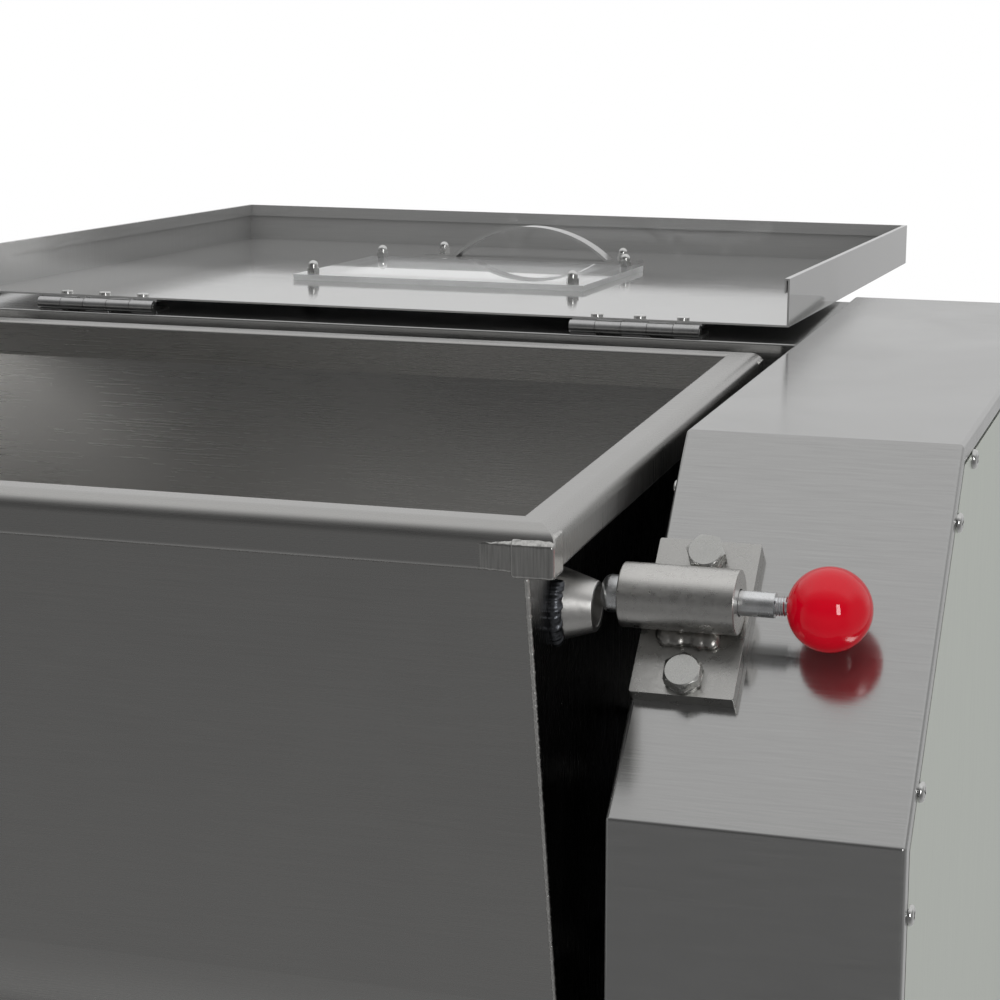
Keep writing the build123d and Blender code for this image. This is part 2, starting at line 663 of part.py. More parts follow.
def bearing_housings():
    housings = []
    for side in (DRIVE, IDLE):
        flange = (across(side, PLATE_END), across(side, PLATE_END + BEARING_FLANGE_THICKNESS))
        boss = (across(side, PLATE_END), across(side, PLATE_END + BEARING_WIDTH))
        square = Pos(SHAFT_Y, SHAFT_Z) * RectangleRounded(BEARING_FLANGE, BEARING_FLANGE, BEARING_CORNER)
        housing = slab_x(square, flange) + bar_x(BEARING_BOSS_RADIUS, boss, SHAFT_Y, SHAFT_Z)
        housing -= bar_x(BEARING_INSERT_RADIUS, boss, SHAFT_Y, SHAFT_Z)
        for y, z in bearing_bolt_points():
            housing -= bar_x(BOLT_RADIUS + BOLT_CLEARANCE, flange, y, z)
        housings.append(housing)
    return housings


def bearing_inserts():
    inserts = []
    for side in (DRIVE, IDLE):
        width = (across(side, PLATE_END), across(side, PLATE_END + BEARING_WIDTH))
        ring = bar_x(BEARING_INSERT_RADIUS, width, SHAFT_Y, SHAFT_Z)
        inserts.append(ring - bar_x(SHAFT_RADIUS + RUNNING_CLEARANCE, width, SHAFT_Y, SHAFT_Z))
    return inserts


def bearing_bolts():
    """Bolts through sleeve, sheet, plate and bearing, each with its nut."""
    solids = []
    nut_face = PLATE_END + BEARING_FLANGE_THICKNESS
    for side in (DRIVE, IDLE):
        for y, z in bearing_bolt_points():
            place = Pos(y, z)
            head = (across(side, -SLEEVE_FLANGE - BOLT_HEAD_HEIGHT), across(side, -SLEEVE_FLANGE))
            shank = (across(side, -SLEEVE_FLANGE), across(side, nut_face + BOLT_NUT_HEIGHT + BOLT_END))
            solids.append(slab_x(place * hexagon(BOLT_HEAD_WIDTH), head) + bar_x(BOLT_RADIUS, shank, y, z))
            nut = (across(side, nut_face), across(side, nut_face + BOLT_NUT_HEIGHT))
            solids.append(slab_x(place * (hexagon(BOLT_HEAD_WIDTH) - Circle(BOLT_RADIUS)), nut))
    return solids


# Chain drive
def sprocket(teeth, pitch_radius, hub_radius, bore, z):
    """Toothed disc in the chain's plane with a hub towards the bearing."""
    gap = ROLLER_RADIUS + TOOTH_CLEARANCE
    tip = pitch_radius + TOOTH_HEIGHT
    mouth = gap + 2 * TOOTH_HEIGHT * tan(radians(TOOTH_RELIEF))
    slot = Pos(0, pitch_radius) * Circle(gap) + make_face(
        Polyline(
            (-gap, pitch_radius),
            (gap, pitch_radius),
            (mouth, pitch_radius + 2 * TOOTH_HEIGHT),
            (-mouth, pitch_radius + 2 * TOOTH_HEIGHT),
            close=True,
        )
    )
    step = 360 / teeth
    disc = Circle(tip) - [Rot(0, 0, (i + 0.5) * step) * slot for i in range(teeth)]
    place = Pos(SHAFT_Y, z)
    wheel = slab_x(place * disc, (CHAIN_X - SPROCKET_WIDTH / 2, CHAIN_X + SPROCKET_WIDTH / 2))
    wheel += bar_x(hub_radius, (across(DRIVE, HUB_START), SHAFT_END_X), SHAFT_Y, z)
    return wheel - bar_x(bore, (across(DRIVE, HUB_START), SHAFT_END_X), SHAFT_Y, z)


def chain_pins():
    """Pin centres round the loop, relative to the main sprocket's centre."""
    main_step = 360 / MAIN_TEETH
    drive_step = 360 / DRIVE_TEETH
    main_count = round(2 * MAIN_WRAP / main_step) + 1
    drive_count = round(2 * DRIVE_WRAP / drive_step) + 1
    main = [radians(-MAIN_WRAP + i * main_step) for i in range(main_count)]
    drive = [radians(DRIVE_WRAP - i * drive_step) for i in range(drive_count)]
    over = [(MAIN_PITCH_RADIUS * sin(a), MAIN_PITCH_RADIUS * cos(a)) for a in main]
    under = [
        (DRIVE_PITCH_RADIUS * sin(a), -SPROCKET_DISTANCE - DRIVE_PITCH_RADIUS * cos(a)) for a in drive
    ]
    return over + between(over[-1], under[0]) + under + between(under[-1], over[0])


def between(start, end):
    """Pins of a straight span, without its two end pins."""
    parts = [i / SPAN_LINKS for i in range(1, SPAN_LINKS)]
    return [(start[0] + p * (end[0] - start[0]), start[1] + p * (end[1] - start[1])) for p in parts]


def drive_chain():
    """Two bands of link plates, with rollers between them where no sprocket tooth passes."""
    pins = chain_pins()
    outer, inner = [], []
    for i, (y, z) in enumerate(pins):
        ahead = pins[(i + 1) % len(pins)]
        behind = pins[i - 1]
        length = hypot(ahead[0] - behind[0], ahead[1] - behind[1])
        normal = ((behind[1] - ahead[1]) / length, (ahead[0] - behind[0]) / length)
        outer.append((y + normal[0] * LINK_HEIGHT / 2, z + normal[1] * LINK_HEIGHT / 2))
        inner.append((y - normal[0] * LINK_HEIGHT / 2, z - normal[1] * LINK_HEIGHT / 2))
    place = Pos(SHAFT_Y, SHAFT_Z)
    band = place * (make_face(Polyline(*outer, close=True)) - make_face(Polyline(*inner, close=True)))
    half = CHAIN_INNER_WIDTH / 2
    plates = [
        slab_x(band, (CHAIN_X + sign * half, CHAIN_X + sign * (half + LINK_PLATE))) for sign in (-1, 1)
    ]
    roller = (CHAIN_X - half - LINK_PLATE / 2, CHAIN_X + half + LINK_PLATE / 2)
    reach = TOOTH_HEIGHT + ROLLER_RADIUS + TOOTH_CLEARANCE
    rollers = [
        bar_x(ROLLER_RADIUS, roller, SHAFT_Y + y, SHAFT_Z + z)
        for y, z in pins
        if hypot(y, z) > MAIN_PITCH_RADIUS + reach
        and hypot(y, z + SPROCKET_DISTANCE) > DRIVE_PITCH_RADIUS + reach
    ]
    return plates[0] + plates[1] + rollers


# Worm reducer and motor
def reducer_case():
    x_span = (REDUCER_X - REDUCER_WIDTH / 2, REDUCER_X + REDUCER_WIDTH / 2)
    y_span = (SHAFT_Y - REDUCER_HALF_LENGTH, SHAFT_Y + REDUCER_HALF_LENGTH)
    z_span = (BED_TOP, OUTPUT_Z + REDUCER_ABOVE)
    case = block(x_span, y_span, z_span)
    case = fillet(case.edges().filter_by(Axis.X).sort_by(Axis.Z)[-2:], REDUCER_WALL)
    case -= block(*[(low + REDUCER_WALL, high - REDUCER_WALL) for low, high in (x_span, y_span, z_span)])
    case -= bar_x(OUTPUT_RADIUS + RUNNING_CLEARANCE, x_span, SHAFT_Y, OUTPUT_Z)
    return case - bar_y(WORM_SHAFT_RADIUS + RUNNING_CLEARANCE, y_span, REDUCER_X, WORM_Z)


def output_shaft():
    return bar_x(OUTPUT_RADIUS, (REDUCER_X - REDUCER_WIDTH / 2, SHAFT_END_X), SHAFT_Y, OUTPUT_Z)


def worm_wheel():
    """Wheel with straight teeth that pass just clear of the worm."""
    half_gap = pi * GEAR_MODULE / 4 + GEAR_BACKLASH / 2
    root = WHEEL_PITCH_RADIUS - DEDENDUM
    tip = WHEEL_PITCH_RADIUS + ADDENDUM
    slant = tan(radians(TOOTH_RELIEF))
    low = half_gap - DEDENDUM * slant
    high = half_gap + DEDENDUM * slant
    past_tip = WHEEL_PITCH_RADIUS + DEDENDUM
    gap = make_face(Polyline((-low, root), (low, root), (high, past_tip), (-high, past_tip), close=True))
    step = 360 / WHEEL_TEETH
    disc = Circle(tip) - [Rot(0, 0, i * step) * gap for i in range(WHEEL_TEETH)] - Circle(OUTPUT_RADIUS)
    x_span = (REDUCER_X - WHEEL_WIDTH / 2, REDUCER_X + WHEEL_WIDTH / 2)
    return slab_x(Pos(SHAFT_Y, OUTPUT_Z) * disc, x_span)


def worm_shaft():
    """Worm with ring ridges and a bore at the back for the motor's nose."""
    pitch = pi * GEAR_MODULE
    half_ridge = pitch / 4 - GEAR_BACKLASH / 2
    root = WORM_PITCH_RADIUS - DEDENDUM
    tip = WORM_PITCH_RADIUS + ADDENDUM
    slant = tan(radians(TOOTH_RELIEF))
    low = half_ridge + DEDENDUM * slant
    high = half_ridge - ADDENDUM * slant
    ridges = int(WORM_LENGTH / 2 / pitch)
    front = SHAFT_Y - REDUCER_HALF_LENGTH
    points = [(front - SHAFT_Y, 0), (front - SHAFT_Y, WORM_SHAFT_RADIUS)]
    points += [(-WORM_LENGTH / 2, WORM_SHAFT_RADIUS), (-WORM_LENGTH / 2, root)]
    for i in range(-ridges + 1, ridges):
        y = i * pitch
        points += [(y - low, root), (y - high, tip), (y + high, tip), (y + low, root)]
    points += [(WORM_LENGTH / 2, root), (WORM_LENGTH / 2, WORM_SHAFT_RADIUS)]
    points += [(MOTOR_FRONT - SHAFT_Y, WORM_SHAFT_RADIUS), (MOTOR_FRONT - SHAFT_Y, 0)]
    profile = make_face(Polyline(*points, close=True))
    worm = Pos(REDUCER_X, SHAFT_Y, WORM_Z) * revolve(Plane.YZ * profile, Axis.Y)
    return worm - bar_y(MOTOR_NOSE_RADIUS, (MOTOR_FRONT - MOTOR_NOSE_LENGTH, MOTOR_FRONT), REDUCER_X, WORM_Z)


def motor_case():
    """Finned case with end walls, open inside for the rotor."""
    place = Pos(REDUCER_X, 0, WORM_Z)
    body_start = MOTOR_FRONT + MOTOR_FLANGE
    fins = Circle(MOTOR_RADIUS) + [
        Rot(0, 0, i * 360 / MOTOR_FINS) * Pos(MOTOR_RADIUS, 0) * Rectangle(2 * MOTOR_FIN, FIN_WIDTH)
        for i in range(MOTOR_FINS)
    ]
    body = Pos(0, MOTOR_BACK, 0) * extrude(Plane.XZ * fins, amount=MOTOR_BACK - body_start)
    case = body + bar_y(MOTOR_FLANGE_RADIUS, (MOTOR_FRONT, body_start))
    case -= bar_y(MOTOR_BORE, (MOTOR_FRONT + MOTOR_WALL, MOTOR_BACK - MOTOR_WALL))
    return place * (case - bar_y(WORM_SHAFT_RADIUS + RUNNING_CLEARANCE, (MOTOR_FRONT, MOTOR_BACK)))


def motor_rotor():
    tail = MOTOR_BACK + FAN_GAP + FAN_WIDTH
    core = (MOTOR_FRONT + 2 * MOTOR_WALL, MOTOR_BACK - 2 * MOTOR_WALL)
    rotor = bar_y(WORM_SHAFT_RADIUS, (MOTOR_FRONT, tail)) + bar_y(MOTOR_BORE - ROTOR_GAP, core)
    rotor += bar_y(MOTOR_NOSE_RADIUS, (MOTOR_FRONT - MOTOR_NOSE_LENGTH, MOTOR_FRONT))
    return Pos(REDUCER_X, 0, WORM_Z) * rotor


def cooling_fan():
    start = MOTOR_BACK + FAN_GAP
    hub_radius = WORM_SHAFT_RADIUS + MOTOR_WALL
    fan = bar_y(hub_radius, (start, start + FAN_WIDTH))
    blade = block((0, FAN_RADIUS), (start, start + FAN_WIDTH), (-FIN_WIDTH / 2, FIN_WIDTH / 2))
    fan += [Rot(0, i * 360 / FAN_BLADES, 0) * blade for i in range(FAN_BLADES)]
    fan -= bar_y(WORM_SHAFT_RADIUS, (start, start + FAN_WIDTH))
    return Pos(REDUCER_X, 0, WORM_Z) * fan


def fan_cover():
    """Cup over the fan with a ring of air slots in its end."""
    end = MOTOR_BACK + 2 * FAN_GAP + FAN_WIDTH
    radius = MOTOR_RADIUS
    cover = bar_y(radius, (MOTOR_BACK, end + FAN_COVER_SHEET))
    cover -= bar_y(radius - FAN_COVER_SHEET, (MOTOR_BACK, end))
    ring = (WORM_SHAFT_RADIUS + MOTOR_WALL, FAN_RADIUS - FAN_GAP)
    slot = block(ring, (end, end + FAN_COVER_SHEET), (-FIN_WIDTH, FIN_WIDTH))
    cover -= [Rot(0, i * 360 / FAN_SLOTS, 0) * slot for i in range(FAN_SLOTS)]
    return Pos(REDUCER_X, 0, WORM_Z) * cover


# Agitator, all on the shaft axis
def mixing_shaft():
    return bar_x(SHAFT_RADIUS, (across(IDLE, IDLE_SHAFT_END), SHAFT_END_X), SHAFT_Y, SHAFT_Z)


def agitator_bar_points():
    """Bar centres round the shaft, from the first one behind it."""
    angles = [radians(AGITATOR_TURN + i * 360 / AGITATOR_BARS) for i in range(AGITATOR_BARS)]
    return [(AGITATOR_RADIUS * cos(a), AGITATOR_RADIUS * sin(a)) for a in angles]


def spider_spans():
    end = HALF_INSIDE - SPIDER_GAP
    return ((BOWL_X - end, BOWL_X - end + SPIDER_WIDTH), (BOWL_X + end - SPIDER_WIDTH, BOWL_X + end))


def agitator_spiders():
    spiders = []
    arm = Pos(AGITATOR_RADIUS / 2, 0) * Rectangle(AGITATOR_RADIUS, SPIDER_ARM)
    arm += Pos(AGITATOR_RADIUS, 0) * Circle(SPIDER_EYE_RADIUS)
    star = Circle(SPIDER_HUB_RADIUS)
    for y, z in agitator_bar_points():
        star += Rot(0, 0, degrees(atan2(z, y))) * arm
    for y, z in agitator_bar_points():
        star -= Pos(y, z) * Circle(BAR_RADIUS)
    star -= Circle(SHAFT_RADIUS)
    for x_span in spider_spans():
        spiders.append(slab_x(Pos(SHAFT_Y, SHAFT_Z) * star, x_span))
    return spiders


def kneading_bars():
    left, right = spider_spans()
    x_span = (left[0], right[1])
    return [bar_x(BAR_RADIUS, x_span, SHAFT_Y + y, SHAFT_Z + z) for y, z in agitator_bar_points()]


# Bowl
def trough_outline(offset):
    """Cross-section of the trough: round below, with straight walls that meet the round without a break."""
    radius = TROUGH_RADIUS + offset
    tangent = atan2(RIM_BOTTOM, HALF_MOUTH) - acos(TROUGH_RADIUS / hypot(RIM_BOTTOM, HALF_MOUTH))
    mouth = HALF_MOUTH + offset / cos(tangent)
    low = (radius * cos(tangent), radius * sin(tangent))
    lines = [
        Line((mouth, RIM_BOTTOM), low),
        ThreePointArc(low, (0, -radius), (-low[0], low[1])),
        Line((-low[0], low[1]), (-mouth, RIM_BOTTOM)),
        Line((-mouth, RIM_BOTTOM), (mouth, RIM_BOTTOM)),
    ]
    return make_face(lines)


def bowl_trough():
    wall = trough_outline(BOWL_SHEET) - trough_outline(0)
    return BOWL_PLACE * slab_x(wall, (BOWL_X - HALF_INSIDE, BOWL_X + HALF_INSIDE))


def bowl_ends():
    """The bowl's two end plates, outside the trough's ends."""
    ends = []
    for side in (DRIVE, IDLE):
        x_span = (across(side, -END_FACE), across(side, -END_FACE - BOWL_SHEET))
        end = slab_x(trough_outline(BOWL_SHEET), x_span)
        ends.append(BOWL_PLACE * (end - bar_x(SLEEVE_RADIUS + END_PLATE_CLEARANCE, x_span)))
    return ends


def round_corner(sketch, x_side, y_side, radius):
    """Round the corner of a sketch that lies furthest towards the given sides."""
    corner = sketch.vertices().sort_by(lambda vertex: x_side * vertex.X + y_side * vertex.Y)[-1]
    return fillet(corner, radius)


def rim_section():
    """Folded rim: round nose outwards, to +X, square where it stands on the wall, slotted below."""
    section = round_corner(Rectangle(RIM_BAR, RIM_HEIGHT), 1, 1, RIM_ROUND)
    section = round_corner(section, -1, 1, RIM_EDGE_ROUND)
    section = round_corner(section, 1, -1, RIM_LIP_ROUND)
    inside = Rectangle(RIM_BAR - 2 * RIM_WALL, RIM_HEIGHT - 2 * RIM_WALL)
    section -= round_corner(inside, 1, 1, RIM_ROUND - RIM_WALL)
    slot = (-RIM_BAR / 2 + RIM_WALL + RIM_SLOT / 2, -RIM_HEIGHT / 2 + RIM_WALL / 2)
    return section - Pos(*slot) * Rectangle(RIM_SLOT, RIM_WALL)


def rim_bar(length, half_depth):
    """One side of the rim along local X, mitred at both ends, on the -Y side."""
    section = Plane(origin=(length / 2, RIM_BAR / 2 - half_depth, 0), x_dir=(0, -1, 0), z_dir=(-1, 0, 0))
    bar = extrude(section * rim_section(), amount=length)
    plan = make_face(
        Polyline(
            (-length / 2, -half_depth),
            (length / 2, -half_depth),
            (length / 2 - RIM_BAR, RIM_BAR - half_depth),
            (RIM_BAR - length / 2, RIM_BAR - half_depth),
            close=True,
        )
    )
    return bar & (Pos(0, 0, -RIM_HEIGHT) * extrude(plan, 2 * RIM_HEIGHT))


def bowl_rim():
    """Four mitred bars, welded at the corners."""
    place = BOWL_PLACE * Pos(BOWL_X, 0, RIM_ABOVE_SHAFT - RIM_HEIGHT / 2)
    bars = []
    for angle in (0, 90, 180, 270):
        sides = (RIM_LENGTH, RIM_DEPTH) if angle % 180 == 0 else (RIM_DEPTH, RIM_LENGTH)
        bars.append(place * Rot(0, 0, angle) * rim_bar(sides[0], sides[1] / 2))
    return bars


def socket_centre():
    """Where the lock pin's axis meets the locked bowl, in the bowl's frame."""
    return turned((LOCK_Y - SHAFT_Y, LOCK_Z - SHAFT_Z), -LOCK_LEAN)


def lock_socket():
    y, z = socket_centre()
    length = END_FACE - RIM_SIDE_GAP
    middle = across(DRIVE, -END_FACE + length / 2)
    cone = Pos(middle, y, z) * Rot(0, 90, 0) * Cone(SOCKET_BASE_RADIUS, SOCKET_MOUTH_RADIUS, length)
    bore = bar_x(LOCK_PIN_RADIUS + SOCKET_CLEARANCE, (middle - length / 2, middle + length / 2), y, z)
    return BOWL_PLACE * (cone - bore)


def bowl_hubs():
    hubs = []
    for side in (DRIVE, IDLE):
        x_span = (across(side, -END_FACE), across(side, HUB_WIDTH - END_FACE))
        hubs.append(BOWL_PLACE * (bar_x(HUB_RADIUS, x_span) - bar_x(SLEEVE_RADIUS + BUSH_WALL, x_span)))
    return hubs


def bowl_bushes():
    bushes = []
    for side in (DRIVE, IDLE):
        x_span = (across(side, -END_FACE), across(side, HUB_WIDTH - END_FACE))
        bush = bar_x(SLEEVE_RADIUS + BUSH_WALL, x_span) - bar_x(SLEEVE_RADIUS + RUNNING_CLEARANCE, x_span)
        bushes.append(BOWL_PLACE * bush)
    return bushes


# Bowl lock; X is measured from the housing's inner face
def latch_bolt_x():
    return LATCH_EDGE + LATCH_PLATE_WIDTH / 2


def lock_bar(radius, x_span):
    return bar_x(radius, x_span, 0, LOCK_HEIGHT)


def latch_plate():
    x_span = (LATCH_EDGE, LATCH_EDGE + LATCH_PLATE_WIDTH)
    plate = block(x_span, (-LATCH_PLATE_LENGTH / 2, LATCH_PLATE_LENGTH / 2), (0, LATCH_PLATE))
    for y in (-LATCH_BOLT_SPREAD / 2, LATCH_BOLT_SPREAD / 2):
        plate -= bar_z(BOLT_RADIUS + BOLT_CLEARANCE, (0, LATCH_PLATE), latch_bolt_x(), y)
    return LOCK_PLACE * plate


def latch_barrel():
    """Tube on a welded foot, with a guide bore at each end and the spring's chamber between."""
    barrel = lock_bar(BARREL_RADIUS, (-BARREL_AHEAD, BARREL_BEHIND))
    half_foot = BARREL_FOOT_WIDTH / 2
    barrel += block((BARREL_FOOT_START, BARREL_FOOT_END), (-half_foot, half_foot), (LATCH_PLATE, LOCK_HEIGHT))
    barrel -= lock_bar(LOCK_PIN_RADIUS + RUNNING_CLEARANCE, (-BARREL_AHEAD, CHAMBER_START))
    barrel -= lock_bar(CHAMBER_RADIUS, (CHAMBER_START, CHAMBER_END))
    return LOCK_PLACE * (barrel - lock_bar(SHANK_RADIUS + RUNNING_CLEARANCE, (CHAMBER_END, BARREL_BEHIND)))


def latch_bolts():
    solids = []
    for y in (-LATCH_BOLT_SPREAD / 2, LATCH_BOLT_SPREAD / 2):
        place = LOCK_PLACE * Pos(latch_bolt_x(), y, 0)
        tail = -HOUSING_SHEET - BOLT_NUT_HEIGHT - BOLT_END
        head = Pos(0, 0, LATCH_PLATE) * extrude(hexagon(BOLT_HEAD_WIDTH), BOLT_HEAD_HEIGHT)
        solids.append(place * (head + bar_z(BOLT_RADIUS, (tail, LATCH_PLATE))))
        nut = extrude(hexagon(BOLT_HEAD_WIDTH) - Circle(BOLT_RADIUS), BOLT_NUT_HEIGHT)
        solids.append(place * Pos(0, 0, -HOUSING_SHEET - BOLT_NUT_HEIGHT) * nut)
    return solids


def latch_spring():
    """Compression spring between the pin's collar and the chamber's end."""
    start = PIN_SHOULDER + SPRING_SEAT + SPRING_WIRE / 2
    length = CHAMBER_END - SPRING_SEAT - SPRING_WIRE / 2 - start
    path = Helix(length / SPRING_TURNS, length, SPRING_RADIUS)
    wire = sweep(Plane(origin=path @ 0, z_dir=path % 0) * Circle(SPRING_WIRE / 2), path, is_frenet=True)
    return LOCK_PLACE * Pos(start, 0, LOCK_HEIGHT) * Rot(0, 90, 0) * wire


def lock_pin():
    tip = -RIM_SIDE_GAP + LOCK_PIN_CLEARANCE
    nose = lock_bar(LOCK_PIN_RADIUS, (tip, PIN_SHOULDER))
    nose = fillet(nose.edges().sort_by(Axis.X)[0], LOCK_PIN_ROUND)
    pin = nose + lock_bar(PIN_COLLAR_RADIUS, (PIN_SHOULDER - PIN_COLLAR, PIN_SHOULDER))
    pin += lock_bar(SHANK_RADIUS, (PIN_SHOULDER, SHANK_END))
    return LOCK_PLACE * (pin + lock_bar(STUD_RADIUS, (SHANK_END, BALL_CENTRE)))


def ball_knob():
    ball = Pos(BALL_CENTRE, 0, LOCK_HEIGHT) * Sphere(BALL_RADIUS)
    face = BALL_CENTRE - BALL_RADIUS + BALL_FLAT
    trim = (-2 * BALL_RADIUS, 2 * BALL_RADIUS)
    ball -= block((face - BALL_RADIUS, face), trim, (LOCK_HEIGHT + trim[0], LOCK_HEIGHT + trim[1]))
    return LOCK_PLACE * (ball - lock_bar(STUD_RADIUS, (face, BALL_CENTRE)))


# Lid hinges
def hinge_centres():
    return (-HINGE_SPREAD / 2, HINGE_SPREAD / 2)


def knuckle_spans(first):
    """X spans of every other knuckle of a hinge centred on X = 0."""
    pitch = HINGE_LENGTH / KNUCKLES
    starts = [-HINGE_LENGTH / 2 + i * pitch for i in range(first, KNUCKLES, 2)]
    return [(start + KNUCKLE_GAP / 2, start + pitch - KNUCKLE_GAP / 2) for start in starts]


def hinge_screw_offsets():
    return [(i - (HINGE_SCREWS - 1) / 2) * HINGE_SCREW_PITCH for i in range(HINGE_SCREWS)]


def hinge_leaf(first, leaf_z):
    """A leaf with its knuckles; leaf_z is the span of its flat, seen along the hinge axis."""
    root = KNUCKLE_RADIUS + KNUCKLE_GAP
    leaf = block((-HINGE_LENGTH / 2, HINGE_LENGTH / 2), (root, HINGE_LEAF_WIDTH), leaf_z)
    for x_span in knuckle_spans(first):
        leaf += bar_x(KNUCKLE_RADIUS, x_span)
        leaf += block(x_span, (0, root), leaf_z)
        leaf -= bar_x(HINGE_PIN_RADIUS + HINGE_PIN_CLEARANCE, x_span)
    for x in hinge_screw_offsets():
        leaf -= bar_z(HINGE_SCREW_RADIUS, leaf_z, x, HINGE_SCREW_BACK)
    return leaf


def deck_hinge_leaves():
    leaf = hinge_leaf(0, (-HINGE_HEIGHT, HINGE_LEAF - HINGE_HEIGHT))
    return [Pos(BOWL_X + x, HINGE_Y, HINGE_Z) * leaf for x in hinge_centres()]


def lid_hinge_leaves():
    leaf = hinge_leaf(1, (LID_FACE - HINGE_LEAF, LID_FACE))
    return [LID_PLACE * Pos(x, 0, 0) * leaf for x in hinge_centres()]


def hinge_pins():
    half = HINGE_LENGTH / 2
    return [
        bar_x(HINGE_PIN_RADIUS, (BOWL_X + x - half, BOWL_X + x + half), HINGE_Y, HINGE_Z)
        for x in hinge_centres()
    ]


def hinge_rivet(z_span):
    """Rivet through a leaf and its sheet, with a low round head on top."""
    rivet = bar_z(HINGE_SCREW_RADIUS, z_span)
    head = bar_z(HINGE_SCREW_HEAD_RADIUS, (z_span[1], z_span[1] + HINGE_SCREW_HEAD_HEIGHT))
    head = fillet(head.edges().sort_by(Axis.Z)[-1], HINGE_SCREW_HEAD_HEIGHT / 2)
    return rivet + head


def hinge_rivet_points():
    return [(x + dx, HINGE_SCREW_BACK) for x in hinge_centres() for dx in hinge_screw_offsets()]


def deck_hinge_rivets():
    rivet = hinge_rivet((-HINGE_HEIGHT - DECK_SHEET, HINGE_LEAF - HINGE_HEIGHT))
    return [Pos(BOWL_X + x, HINGE_Y + y, HINGE_Z) * rivet for x, y in hinge_rivet_points()]


def lid_hinge_rivets():
    rivet = hinge_rivet((LID_FACE - HINGE_LEAF, LID_TOP))
    return [LID_PLACE * Pos(x, y, 0) * rivet for x, y in hinge_rivet_points()]


# Lid
def flange_strip(side, outer, inner, z_span):
    """A strip between two depths from a flange's outer face; side 0 is the flange away from the hinges."""
    half = LID_WIDTH / 2
    if side == 0:
        return block((-half, half), (LID_REACH - inner, LID_REACH - outer), z_span)
    return block((side * (half - outer), side * (half - inner)), (LID_EDGE_BEHIND, LID_REACH), z_span)


def lid_tray():
    """Sheet with hemmed flanges on three sides; the hinged side is plain."""
    tray = block((-LID_WIDTH / 2, LID_WIDTH / 2), (LID_EDGE_BEHIND, LID_REACH), (LID_FACE, LID_TOP))
    for side in (-1, 0, 1):
        tray += flange_strip(side, 0, LID_SHEET, (LID_FACE, LID_RIM))
        tray += flange_strip(side, 0, HEM, (LID_RIM - LID_SHEET, LID_RIM))
        tray += flange_strip(side, HEM - LID_SHEET, HEM, (LID_RIM - HEM_DEPTH, LID_RIM))
    window = (WINDOW_WIDTH / 2 - WINDOW_OVERLAP, WINDOW_DEPTH / 2 - WINDOW_OVERLAP)
    y = window_centre()
    tray -= block((-window[0], window[0]), (y - window[1], y + window[1]), (LID_FACE, LID_TOP))
    for x, y in window_nut_points() + handle_nut_points():
        tray -= bar_z(DOME_BOLT_RADIUS, (LID_FACE, LID_TOP), x, y)
    for x, y in hinge_rivet_points():
        tray -= bar_z(HINGE_SCREW_RADIUS, (LID_FACE, LID_TOP), x, y)
    return LID_PLACE * tray


def window_centre():
    return LID_EDGE_BEHIND + WINDOW_SETBACK + WINDOW_DEPTH / 2


def window_nut_points():
    dx = WINDOW_WIDTH / 2 - WINDOW_NUT_INSET
    dy = WINDOW_DEPTH / 2 - WINDOW_NUT_INSET
    return [(i * dx, window_centre() + j * dy) for i in (-1, 1) for j in (-1, 1)]


def handle_nut_points():
    x = HANDLE_SPAN / 2 + HANDLE_NUT_OUT
    return [(-x, LID_EDGE_BEHIND + HANDLE_SETBACK), (x, LID_EDGE_BEHIND + HANDLE_SETBACK)]


def lid_window():
    y = window_centre()
    half = (WINDOW_WIDTH / 2, WINDOW_DEPTH / 2)
    plate = block((-half[0], half[0]), (y - half[1], y + half[1]), (LID_TOP, LID_TOP + WINDOW_PLATE))
    for x, y in window_nut_points():
        plate -= bar_z(DOME_BOLT_RADIUS, (LID_TOP, LID_TOP + WINDOW_PLATE), x, y)
    return LID_PLACE * plate


def dome_nut(seat):
    """Low bolt from below and a domed nut on the seat's height."""
    collar = seat + DOME_NUT_HEX
    bolt = bar_z(DOME_BOLT_RADIUS, (LID_FACE, seat))
    bolt += bar_z(DOME_BOLT_HEAD_RADIUS, (LID_FACE - DOME_BOLT_HEAD, LID_FACE))
    bolt += Pos(0, 0, seat) * extrude(hexagon(DOME_NUT_WIDTH), DOME_NUT_HEX)
    bolt += bar_z(DOME_RADIUS, (collar, collar + DOME_NUT_COLLAR))
    return bolt + Pos(0, 0, collar + DOME_NUT_COLLAR) * Sphere(DOME_RADIUS)


def lid_dome_nuts():
    window = dome_nut(LID_TOP + WINDOW_PLATE)
    handle = dome_nut(LID_TOP + HANDLE_STRAP)
    nuts = [LID_PLACE * Pos(x, y, 0) * window for x, y in window_nut_points()]
    return nuts + [LID_PLACE * Pos(x, y, 0) * handle for x, y in handle_nut_points()]


def lid_handle():
    """Bent strap: a bow between two flat feet."""
    half = HANDLE_SPAN / 2
    foot = half + HANDLE_FOOT
    top = LID_TOP + HANDLE_STRAP
    lines = [
        Polyline((-half, top), (-foot, top), (-foot, LID_TOP), (-half + HANDLE_STRAP, LID_TOP)),
        ThreePointArc(
            (-half + HANDLE_STRAP, LID_TOP),
            (0, LID_TOP + HANDLE_HEIGHT - HANDLE_STRAP),
            (half - HANDLE_STRAP, LID_TOP),
        ),
        Polyline((half - HANDLE_STRAP, LID_TOP), (foot, LID_TOP), (foot, top), (half, top)),
        ThreePointArc((half, top), (0, LID_TOP + HANDLE_HEIGHT), (-half, top)),
    ]
    back = LID_EDGE_BEHIND + HANDLE_SETBACK + HANDLE_WIDTH / 2
    strap = Pos(0, back, 0) * extrude(Plane.XZ * make_face(lines), amount=HANDLE_WIDTH)
    for x, y in handle_nut_points():
        strap -= bar_z(DOME_BOLT_RADIUS, (LID_TOP, top), x, y)
    return LID_PLACE * strap


